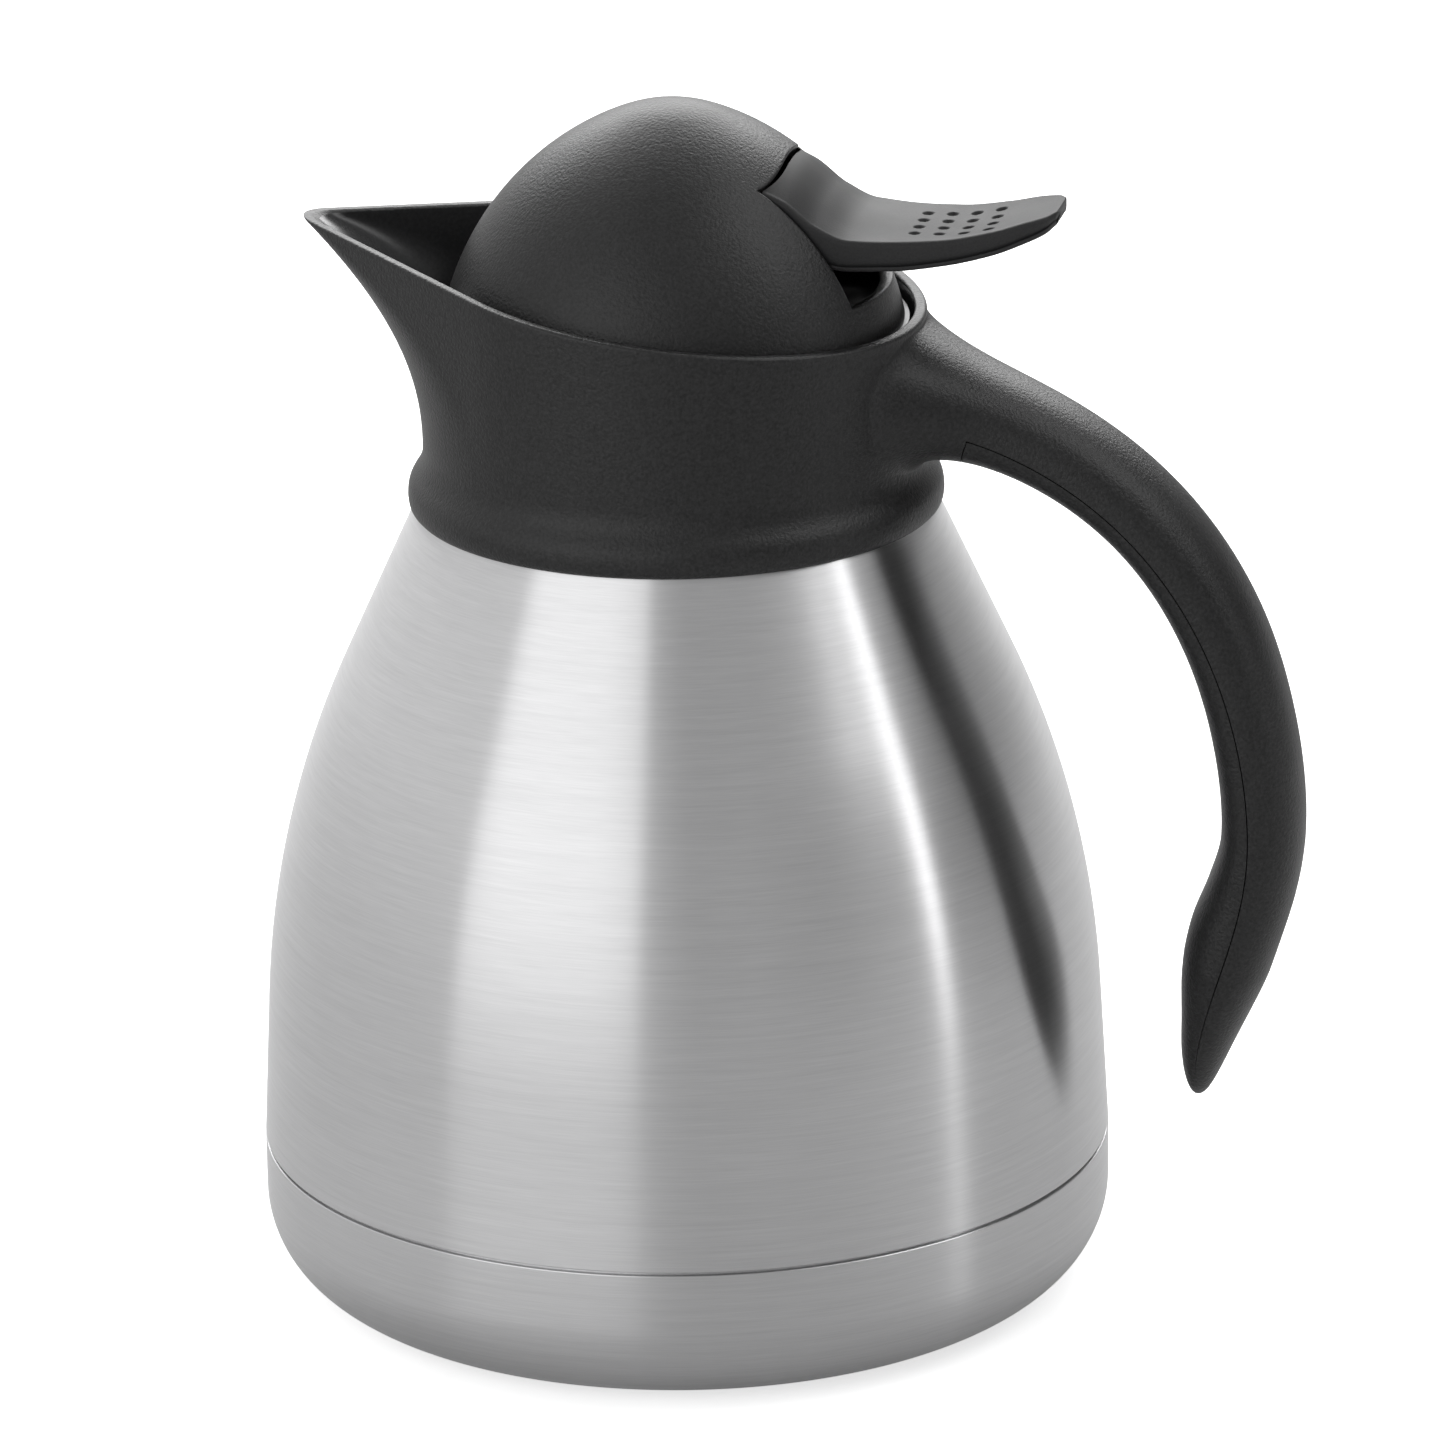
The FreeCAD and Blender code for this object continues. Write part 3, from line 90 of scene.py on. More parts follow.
@dataclass(frozen=True)
class Patch:
    """A grid of points over two parameters, joined by quads.

    Args:
        points: Array of rows, columns and three coordinates in millimetres.
        wrap_rows: Whether the last row joins the first.
        wrap_columns: Whether the last column joins the first.
        finish: Index of the patch's finish in its piece.
    """

    points: np.ndarray
    wrap_rows: bool = False
    wrap_columns: bool = False
    finish: int = 0

    def faces(self) -> np.ndarray:
        """Corner indices of the grid's quads.

        Returns:
            Array of quads and four indices.
        """
        rows, columns = self.points.shape[:2]
        index = np.arange(rows * columns).reshape(rows, columns)
        if self.wrap_rows:
            index = np.concatenate([index, index[:1]], axis=0)
        if self.wrap_columns:
            index = np.concatenate([index, index[:, :1]], axis=1)
        corners = [index[:-1, :-1], index[:-1, 1:], index[1:, 1:], index[1:, :-1]]
        return np.stack(corners, axis=-1).reshape(-1, 4)


def join(*coordinates: np.ndarray | float) -> np.ndarray:
    """Points from their x, y and z, which are broadcast together."""
    return np.stack(np.broadcast_arrays(*coordinates), axis=-1)


def polar(radius: np.ndarray | float, angle: np.ndarray, height: np.ndarray | float) -> np.ndarray:
    """Points at a distance from the vertical axis, an angle round it and a height."""
    return join(radius * np.cos(angle), radius * np.sin(angle), height)


def hermite(ends: Sequence[np.ndarray], slopes: Sequence[np.ndarray], share: np.ndarray) -> np.ndarray:
    """Cubic between two ends with a given slope at each.

    Args:
        ends: Values at the start and the end.
        slopes: Slopes at the start and the end, times the length between them.
        share: Shares of the way.

    Returns:
        The values.
    """
    square, cube = share**2, share**3
    return (ends[0] * (2 * cube - 3 * square + 1) + slopes[0] * (cube - 2 * square + share)
            + ends[1] * (3 * square - 2 * cube) + slopes[1] * (cube - square))


def bezier(start: np.ndarray, first: np.ndarray, second: np.ndarray, end: np.ndarray,
           share: np.ndarray) -> np.ndarray:
    """Cubic from a start to an end that leaves towards one point and comes in from another."""
    rest = 1 - share
    return start * rest**3 + 3 * first * rest**2 * share + 3 * second * rest * share**2 + end * share**3


def smooth_curve(points: Sequence[Sequence[float]], count: int) -> np.ndarray:
    """Smooth curve through points: cubic pieces whose slopes come from the neighbours.

    Args:
        points: Points of the curve, in order.
        count: Number of samples, even in chord length.

    Returns:
        Array of samples and coordinates.
    """
    knots = np.asarray(points, float)
    chord = np.concatenate([[0.0], np.cumsum(np.linalg.norm(np.diff(knots, axis=0), axis=1))])
    slopes = np.gradient(knots, chord, axis=0)
    at = np.linspace(0.0, chord[-1], count)
    piece = np.clip(np.searchsorted(chord, at, side="right") - 1, 0, len(knots) - 2)
    width = (chord[piece + 1] - chord[piece])[:, None]
    share = (at - chord[piece])[:, None] / width
    ends = (piece, piece + 1)
    return hermite([knots[k] for k in ends], [slopes[k] * width for k in ends], share)


def table_curve(table: Sequence[Sequence[float]], at: np.ndarray) -> np.ndarray:
    """Columns of a table of sections, read smoothly and without overshoot at given places.

    Each column is a cubic between neighbouring rows, with the harmonic mean of the
    neighbouring slopes at each row, and no slope at a turning point.

    Args:
        table: Rows of a place followed by values; places ascend.
        at: Places to read, in any shape.

    Returns:
        Array of the columns, each in the shape of the places.
    """
    rows = np.asarray(table, float)
    place, values = rows[:, 0], rows[:, 1:]
    step = np.diff(place)
    secant = np.diff(values, axis=0) / step[:, None]
    before, after = secant[:-1], secant[1:]
    same = before * after > 0
    inner = np.where(same, 2 * before * after / np.where(same, before + after, 1.0), 0.0)
    slope = np.concatenate([secant[:1], inner, secant[-1:]])
    piece = np.clip(np.searchsorted(place, at, side="right") - 1, 0, len(place) - 2)
    share = (at - place[piece]) / step[piece]
    ends = (piece, piece + 1)
    return hermite([values.T[:, k] for k in ends], [slope.T[:, k] * step[piece] for k in ends], share)


def rounded_loop(corners: Sequence[tuple[float, float, float]], step: float) -> np.ndarray:
    """Closed outline whose corners are arcs.

    Args:
        corners: Radius, height and rounding of each corner.
        step: Angle in degrees between samples of an arc.

    Returns:
        Array of points, two coordinates each.
    """
    spots = np.array([c[:2] for c in corners], float)
    pieces = []
    for i, (_, _, rounding) in enumerate(corners):
        here = spots[i]
        if rounding <= 0:
            pieces.append(here[None])
            continue
        back = spots[i - 1] - here
        ahead = spots[(i + 1) % len(spots)] - here
        back, ahead = back / np.linalg.norm(back), ahead / np.linalg.norm(ahead)
        half = math.acos(float(np.clip(back @ ahead, -1, 1))) / 2
        centre = here + (back + ahead) / np.linalg.norm(back + ahead) * rounding / math.sin(half)
        sweep = math.pi - 2 * half
        share = np.linspace(0, 1, max(3, int(math.degrees(sweep) / step) + 2))[:, None]
        first = here + back * rounding / math.tan(half) - centre
        last = here + ahead * rounding / math.tan(half) - centre
        arc = (np.sin((1 - share) * sweep) * first + np.sin(share * sweep) * last) / math.sin(sweep)
        pieces.append(centre + arc)
    return np.concatenate(pieces)


def revolve(profile: np.ndarray, segments: int) -> Patch:
    """Surface of a closed profile of radius and height, turned about the vertical axis."""
    angle = np.linspace(0, 2 * np.pi, segments, endpoint=False)
    return Patch(polar(profile[:, :1], angle, profile[:, 1:]), wrap_rows=True, wrap_columns=True)


def cross_rod(middle: tuple[float, float], low: float, high: float, radius: float, segments: int = 40,
              soft: float = 0.08) -> Patch:
    """Closed round bar along Y: rings about its line, drawn in at both ends.

    Args:
        middle: Place of the line, x and z.
        low: Start along Y.
        high: End along Y.
        radius: Radius of the bar.
        segments: Number of steps round the bar.
        soft: Size of the chamfer at each end, as a share of the radius.

    Returns:
        The bar as one patch.
    """
    edge = soft * radius
    rings = np.array([(0.0, low), (radius - edge, low), (radius, low + edge),
                      (radius, high - edge), (radius - edge, high), (0.0, high)])
    angle = np.linspace(0, 2 * np.pi, segments, endpoint=False)
    size = rings[:, :1]
    points = join(middle[0] + size * np.cos(angle), rings[:, 1:], middle[1] - size * np.sin(angle))
    return Patch(points, wrap_columns=True)


def block(low: Sequence[float], high: Sequence[float]) -> Patch:
    """Box between two corners: four corner points swept upwards, drawn in at both ends.

    Args:
        low: Lowest corner.
        high: Highest corner.

    Returns:
        The box as one patch.
    """
    (x0, y0, z0), (x1, y1, z1) = low, high
    ring = np.array([[x0, y0], [x1, y0], [x1, y1], [x0, y1]], float)
    middle = np.broadcast_to(ring.mean(axis=0), ring.shape)
    plans = np.stack([middle, ring, ring, middle])
    return Patch(join(plans[..., 0], plans[..., 1], [[z0], [z0], [z1], [z1]]), wrap_columns=True)


def flat_end(ring: np.ndarray) -> Patch:
    """Flat face between a row of points and the straight line that joins its ends."""
    share = np.linspace(0, 1, len(ring))[:, None]
    return Patch(np.stack([ring, ring[0] + (ring[-1] - ring[0]) * share]))


def weld(patches: Sequence[Patch]) -> tuple[np.ndarray, np.ndarray, np.ndarray, np.ndarray]:
    """Join patches into one set of points, with points that agree to a micrometre merged.

    Args:
        patches: Patches of one piece.

    Returns:
        Points, quads and triangles, and the finish of every quad and triangle in turn.
    """
    points = np.concatenate([p.points.reshape(-1, 3) for p in patches])
    starts = np.cumsum([0] + [p.points[..., 0].size for p in patches[:-1]])
    faces = [p.faces() for p in patches]
    quads = np.concatenate([f + s for f, s in zip(faces, starts)])
    finish = np.repeat([p.finish for p in patches], [len(f) for f in faces])
    _, first, merged = np.unique(np.round(points, 3), axis=0, return_index=True, return_inverse=True)
    quads = merged.reshape(-1)[quads]
    same = quads == np.roll(quads, -1, axis=1)
    whole = ~same.any(axis=1)
    thin = same.sum(axis=1) == 1
    triangles = [np.delete(quads[thin & same[:, k]], k, axis=1) for k in range(4)]
    finishes = [finish[whole], *(finish[thin & same[:, k]] for k in range(4))]
    return points[first], quads[whole], np.concatenate(triangles), np.concatenate(finishes)


def place_object(name: str, data: bpy.types.ID) -> bpy.types.Object:
    """Make an object of a mesh, light or camera and link it to the scene.

    Args:
        name: Name of the object.
        data: What the object shows.

    Returns:
        The new object.
    """
    thing = bpy.data.objects.new(name, data)
    bpy.context.scene.collection.objects.link(thing)
    return thing


@dataclass
class Piece:
    """One visible piece: patches made into a mesh that rides on a body.

    Args:
        name: Name of the object.
        patches: Surfaces of the piece.
        finishes: Finishes that the patches' indices name.
        body: Body that the piece rides on.
        replaces: CAD nodes that the piece stands for.
        sharp: Angle in degrees above which an edge is drawn sharp.
    """

    name: str
    patches: Sequence[Patch]
    finishes: Sequence[Finish]
    body: Body
    replaces: Sequence[str]
    sharp: float = 38.0

    def make(self, shop: "FinishShop") -> bpy.types.Object:
        """Build the mesh and hang it on its body.

        Args:
            shop: Source of the materials.

        Returns:
            The new object.
        """
        points, quads, triangles, finish = weld(self.patches)
        corners = np.concatenate([quads.ravel(), triangles.ravel()])
        sizes = np.repeat([4, 3], [len(quads), len(triangles)])
        starts = np.concatenate([[0], np.cumsum(sizes)[:-1]])
        mesh = bpy.data.meshes.new(self.name)
        mesh.vertices.add(len(points))
        mesh.vertices.foreach_set("co", (points * MM).astype(np.float32).ravel())
        mesh.loops.add(len(corners))
        mesh.loops.foreach_set("vertex_index", corners.astype(np.int32))
        mesh.polygons.add(len(sizes))
        mesh.polygons.foreach_set("loop_start", starts.astype(np.int32))
        mesh.polygons.foreach_set("material_index", finish.astype(np.int32))
        mesh.polygons.foreach_set("use_smooth", np.ones(len(sizes), bool))
        for item in self.finishes:
            mesh.materials.append(shop.material(item))
        mesh.update(calc_edges=True)
        mesh.validate()
        work = bmesh.new()
        work.from_mesh(mesh)
        bmesh.ops.recalc_face_normals(work, faces=work.faces)
        work.to_mesh(mesh)
        work.free()
        mesh.set_sharp_from_angle(angle=math.radians(self.sharp))
        thing = place_object(self.name, mesh)
        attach(thing, self.body.value)
        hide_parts(*self.replaces)
        LOG.info("%s: %d faces", self.name, len(sizes))
        return thing


# Finishes


class Graph:
    """Small helper that adds and joins shader nodes in one tree.

    Args:
        tree: Node tree to fill.
    """

    noise_range = (0.3, 0.7)
    node_width = 180

    def __init__(self, tree: bpy.types.NodeTree) -> None:
        """Start at the left of a tree."""
        self.tree = tree
        self.across = 0

    @classmethod
    def of(cls, owner: bpy.types.ID) -> "Graph":
        """Graph of a material or a world, with its tree emptied.

        Args:
            owner: The material or world.

        Returns:
            The graph.
        """
        owner.use_nodes = True
        owner.node_tree.nodes.clear()
        return cls(owner.node_tree)

    def add(self, kind: str, values: dict | None = None, **settings: object) -> bpy.types.Node:
        """Add a node.

        Args:
            kind: Type name of the node.
            values: Constants or sockets for its inputs, by name or index.
            settings: Properties of the node.

        Returns:
            The node.
        """
        node = self.tree.nodes.new(kind)
        self.across += self.node_width
        node.location = (self.across, 0)
        for key, setting in settings.items():
            setattr(node, key, setting)
        for key, entry in (values or {}).items():
            socket = node.inputs[key]
            if isinstance(entry, Socket):
                self.tree.links.new(entry, socket)
            else:
                socket.default_value = entry
        return node

    def out(self, kind: str, values: dict | None = None, **settings: object) -> Socket:
        """Add a node, as above, and give its first output."""
        return self.add(kind, values, **settings).outputs[0]

    def math(self, operation: str, first: object, second: object) -> Socket:
        """Add a math node on two numbers or sockets."""
        return self.out("ShaderNodeMath", {0: first, 1: second}, operation=operation)

    def spread(self, entry: Socket, ends: tuple[float, float], to: tuple[float, float]) -> Socket:
        """Map a value from one range to another, held at the ends."""
        return self.out("ShaderNodeMapRange", {0: entry, 1: ends[0], 2: ends[1], 3: to[0], 4: to[1]})

    def vary(self, noise: Socket, mean: float, share: float) -> Socket:
        """Turn a noise into a number that leaves its mean by up to a share."""
        return self.spread(noise, self.noise_range, (mean * (1 - share), mean * (1 + share)))

    def grey(self, shade: Socket, blue: float = 1.0) -> Socket:
        """Make a colour of a shade, with its blue multiplied."""
        blue_shade = self.math("MULTIPLY", shade, blue)
        return self.out("ShaderNodeCombineColor", {0: shade, 1: shade, 2: blue_shade})

    def noise(self, place: Socket, scale: object, detail: float, roughness: float = 0.5) -> Socket:
        """Add a noise texture."""
        return self.out("ShaderNodeTexNoise", {
            "Vector": place, "Scale": scale, "Detail": detail, "Roughness": roughness})

    def place(self, name: str) -> Socket:
        """Add texture coordinates of a kind."""
        return self.add("ShaderNodeTexCoord").outputs[name]

    def lit_matte(self, colour: object, glow: float) -> Socket:
        """Add a matte surface with a white glow of its own.

        Args:
            colour: Colour of the surface.
            glow: Strength of the glow.

        Returns:
            Shader socket.
        """
        matte = self.out("ShaderNodeBsdfDiffuse", {"Color": colour})
        light = self.out("ShaderNodeEmission", {"Color": WHITE, "Strength": glow})
        return self.out("ShaderNodeAddShader", {0: matte, 1: light})


def shared_group(name: str, inputs: dict[str, float],
                 fill: Callable[[Graph, Sequence[Socket]], dict[str, Socket]]) -> bpy.types.NodeTree:
    """Make a shared node group once.

    Args:
        name: Name of the group.
        inputs: Input names with their defaults.
        fill: Function that adds the inner nodes and returns the outputs by name.

    Returns:
        The group's tree.
    """
    tree = bpy.data.node_groups.get(name)
    if tree is None:
        tree = bpy.data.node_groups.new(name, "ShaderNodeTree")
        for key, number in inputs.items():
            entry = tree.interface.new_socket(key, in_out="INPUT", socket_type="NodeSocketFloat")
            entry.default_value = number
        graph = Graph(tree)
        results = fill(graph, graph.add("NodeGroupInput").outputs)
        for key, socket in results.items():
            kind = "NodeSocketVector" if socket.type == "VECTOR" else "NodeSocketFloat"
            tree.interface.new_socket(key, in_out="OUTPUT", socket_type=kind)
        graph.add("NodeGroupOutput", results)
    return tree


def fill_grain(graph: Graph, entry: Sequence[Socket]) -> dict[str, Socket]:
    """Moulded grain: a fine noise that also bumps the normal, and handling marks from a broad noise.

    Args:
        graph: Tree of the group.
        entry: Inputs of the group.

    Returns:
        Outputs of the group by name.
    """
    place = graph.place("Object")
    fine = graph.noise(place, scale=entry["Scale"], detail=2.0, roughness=0.6)
    broad = graph.noise(place, scale=28.0, detail=4.0, roughness=0.55)
    marks = graph.spread(broad, ends=(0.35, 0.68), to=(0.0, 1.0))
    bump = graph.out("ShaderNodeBump", {"Strength": entry["Relief"], "Distance": 0.0003, "Height": fine})
    return {"Grain": fine, "Marks": marks, "Normal": bump}


def fill_brush(graph: Graph, entry: Sequence[Socket]) -> dict[str, Socket]:
    """Brush lines round the vertical axis: noises that change fast with height and slowly round the axis.

    Args:
        graph: Tree of the group.
        entry: Inputs of the group.

    Returns:
        Outputs of the group by name: mean of fine and long lines, broad drift and bumped normal.
    """
    place = graph.place("Object")
    parts = graph.add("ShaderNodeSeparateXYZ", {0: place}).outputs
    flat = graph.out("ShaderNodeCombineXYZ", {0: parts[0], 1: parts[1], 2: 0.0})
    spoke = graph.out("ShaderNodeVectorMath", {0: flat}, operation="NORMALIZE")
    spokes = graph.add("ShaderNodeSeparateXYZ", {0: spoke}).outputs
    rows = graph.math("MULTIPLY", parts[2], entry["Lines"])
    streaks = []
    for around, fineness in ((9.0, 1.0), (2.5, 0.22)):
        line = graph.out("ShaderNodeCombineXYZ", {
            0: graph.math("MULTIPLY", spokes[0], around),
            1: graph.math("MULTIPLY", spokes[1], around),
            2: graph.math("MULTIPLY", rows, fineness)})
        streaks.append(graph.noise(line, scale=1.0, detail=2.0, roughness=0.65))
    both = graph.math("MULTIPLY", graph.math("ADD", *streaks), 0.5)
    drift = graph.noise(place, scale=16.0, detail=2.0)
    bump = graph.out("ShaderNodeBump", {"Strength": 0.03, "Distance": 0.00006, "Height": streaks[0]})
    return {"Streak": both, "Drift": drift, "Normal": bump}


@dataclass(frozen=True)
class Plastic:
    """Moulded plastic finish.

    Args:
        shade: Linear grey of the plastic.
        roughness: Mean roughness.
        grain: Number of grains per metre.
        relief: Strength of the grain's bump.
        wear: Change of roughness by soft handling marks.
        shine: Level of the surface reflection.
        fleck: Share of the grey that the grain takes and gives.
        blue: Blue of the grey, as a share.
        index: Index of refraction.
    """

    shade: float
    roughness: float
    grain: float
    relief: float
    wear: float = 0.05
    shine: float = 0.5
    fleck: float = 0.14
    blue: float = 1.03
    index: float = 1.5

    def shader(self, graph: Graph) -> Socket:
        """Shader with a grey that follows the grain and a roughness that follows the marks.

        Args:
            graph: Tree to fill.

        Returns:
            Shader socket.
        """
        group = shared_group("moulded_grain", {"Scale": 2500.0, "Relief": 0.2}, fill_grain)
        values = {"Scale": self.grain, "Relief": self.relief}
        grain = graph.add("ShaderNodeGroup", values, node_tree=group).outputs
        shade = graph.vary(grain["Grain"], self.shade, self.fleck)
        rough = (self.roughness - self.wear, self.roughness + self.wear)
        return graph.out("ShaderNodeBsdfPrincipled", {
            "Base Color": graph.grey(shade, self.blue), "IOR": self.index, "Specular IOR Level": self.shine,
            "Roughness": graph.spread(grain["Marks"], (0.0, 1.0), rough), "Normal": grain["Normal"]})


@dataclass(frozen=True)
class Metal:
    """Metal finish.

    Args:
        shade: Linear grey of the metal.
        roughness: Mean roughness.
        stretch: How far reflections are drawn out across the brushing.
        lines: Brush lines per metre of height.
        contrast: Change of the shade by the brush lines, as a share.
        drift: Broad change of the roughness, as a share.
        blue: Blue of the grey, as a share.
        turn: Turn of the stretch from the tangent, as a share of a full turn.
    """

    shade: float
    roughness: float
    stretch: float
    lines: float
    contrast: float
    drift: float = 0.05
    blue: float = 1.01
    turn: float = 0.25

    def shader(self, graph: Graph) -> Socket:
        """Shader with reflections drawn out across the brushing.

        Args:
            graph: Tree to fill.

        Returns:
            Shader socket.
        """
        group = shared_group("turned_brushing", {"Lines": 6000.0}, fill_brush)
        brush = graph.add("ShaderNodeGroup", {"Lines": self.lines}, node_tree=group).outputs
        shade = graph.vary(brush["Streak"], self.shade, self.contrast)
        return graph.out("ShaderNodeBsdfPrincipled", {
            "Base Color": graph.grey(shade, self.blue), "Metallic": 1.0,
            "Roughness": graph.vary(brush["Drift"], self.roughness, self.drift),
            "Anisotropic": self.stretch, "Anisotropic Rotation": self.turn,
            "Tangent": graph.out("ShaderNodeTangent", direction_type="RADIAL", axis="Z"),
            "Normal": brush["Normal"]})


@dataclass
class FinishShop:
    """Makes each material once and hands it out."""

    looks: dict[Finish, Plastic | Metal] = field(default_factory=lambda: {
        Finish.BLACK_MOULDING: Plastic(0.007, 0.42, 1900.0, 0.45, shine=0.42, fleck=0.8),
        # Same black moulding as the outside: the lower roughness is a real glossier face, and the lighter
        # grey (0.025 against 0.007) is painted light on the shaded inside of the cup and spout.
        Finish.GLOSSY_PAINTED_LIGHT_INSIDE: Plastic(0.025, 0.24, 1500.0, 0.03),
        Finish.LEVER_MOULDING: Plastic(0.018, 0.50, 3200.0, 0.08, shine=0.22),
        Finish.LID_INNER: Plastic(0.09, 0.40, 1800.0, 0.05),
        Finish.SILICONE: Plastic(0.33, 0.55, 1400.0, 0.06),
        Finish.BRUSHED_SHELL: Metal(0.66, 0.30, 0.95, 6500.0, 0.07),
        Finish.INNER_STEEL: Metal(0.62, 0.33, 0.6, 3000.0, 0.04),
        Finish.SPRING_WIRE: Metal(0.60, 0.22, 0.0, 2500.0, 0.03),
        Finish.SOLDER: Metal(0.50, 0.42, 0.0, 1800.0, 0.08),
    })
    made: dict[Finish, bpy.types.Material] = field(default_factory=dict)

    def material(self, finish: Finish) -> bpy.types.Material:
        """The material of a finish.

        Args:
            finish: Finish wanted.

        Returns:
            Its material.
        """
        if finish not in self.made:
            made = bpy.data.materials.new(finish.value)
            graph = Graph.of(made)
            graph.add("ShaderNodeOutputMaterial", {"Surface": self.looks[finish].shader(graph)})
            self.made[finish] = made
        return self.made[finish]


# Sub-assemblies


@dataclass
class SteelVessel:
    """Brushed outer shell and pressed base."""

    side_radius: float = 70.0
    seam_height: float = 25.2
    seam_gap: float = 0.5
    wall: float = 0.7
    lean: float = 3.0
    shoulder_lean: float = 24.8
    shoulder_round: float = 154.0
    shoulder_radius: float = 43.75
    shoulder_height: float = 130.0
    neck_radius: float = 38.0
    neck_round: float = 8.0
    top: float = 149.4
    edge_round: float = 16.0
    foot_width: float = 7.0
    recess: float = 3.0
    recess_slope: float = 5.0
    recess_round: float = 1.5
    plug_hole: float = 2.0
    lap: float = 6.0
    lap_gap: float = 0.1
    lip: float = 0.22
    segments: int = 360
    shell_step: float = 1.1
    base_step: float = 3.0

    def wall_corners(self, inset: float) -> list[tuple[float, float, float]]:
        """Corners of the wall moved inwards: bend of the shoulder and root of the neck.

        Args:
            inset: Distance inside the outer face.

        Returns:
            Corners from the bottom up, with roundings.
        """
        side_slope = math.tan(math.radians(self.lean))
        slope = math.tan(math.radians(self.shoulder_lean))
        side = self.side_radius - inset / math.cos(math.radians(self.lean))
        shoulder = self.shoulder_radius - inset / math.cos(math.radians(self.shoulder_lean))
        neck = self.neck_radius - inset
        gain = shoulder + self.shoulder_height * slope - side - self.seam_height * side_slope
        bend = gain / (slope - side_slope)
        throat = self.shoulder_height + (shoulder - neck) / slope
        low = self.seam_height + self.seam_gap / 2
        return [
            (side - (low - self.seam_height) * side_slope, low, self.lip),
            (side - (bend - self.seam_height) * side_slope, bend, self.shoulder_round - inset),
            (neck, throat, self.neck_round + inset),
            (neck, self.top, 0.0),
        ]

    def shell(self) -> Patch:
        """Outer wall turned about the axis: the outer face upwards and the inner face back down."""
        outline = self.wall_corners(0.0) + self.wall_corners(self.wall)[::-1]
        return revolve(rounded_loop(outline, self.shell_step), self.segments)

    def base(self) -> Patch:
        """Pressed base with its foot ring, recess and the lap into the shell, turned about the axis.

        Returns:
            The closed patch.
        """
        seam = self.seam_height - self.seam_gap / 2
        side, wall, floor = self.side_radius, self.wall, self.recess + self.wall
        foot_in = side - self.edge_round - self.foot_width
        recess = foot_in - self.recess_slope
        lap = side - wall / math.cos(math.radians(self.lean)) - self.lap_gap
        lap_top = lap - self.lap * math.tan(math.radians(self.lean))
        outline = [
            (self.plug_hole, self.recess, 0.0), (recess, self.recess, self.recess_round),
            (foot_in, 0.0, self.recess_round), (side, 0.0, self.edge_round), (side, seam, self.lip),
            (lap, seam, 0.0), (lap_top, seam + self.lap, 0.0), (lap_top - wall, seam + self.lap, 0.0),
            (lap - wall, seam - wall, 0.0), (side - wall, seam - 3 * wall, 0.0),
            (side - wall, wall, self.edge_round - wall), (foot_in + wall / 2, wall, 0.0),
            (recess + wall / 2, floor, 0.0), (self.plug_hole, floor, 0.0),
        ]
        return revolve(rounded_loop(outline, self.base_step), self.segments)

    def build(self, shop: FinishShop) -> None:
        """Make the shell and the base with materials from the shop."""
        for name, patch in (("outer_shell", self.shell()), ("base_cup", self.base())):
            Piece(name + "_skin", [patch], [Finish.BRUSHED_SHELL], Body.VESSEL, [name]).make(shop)


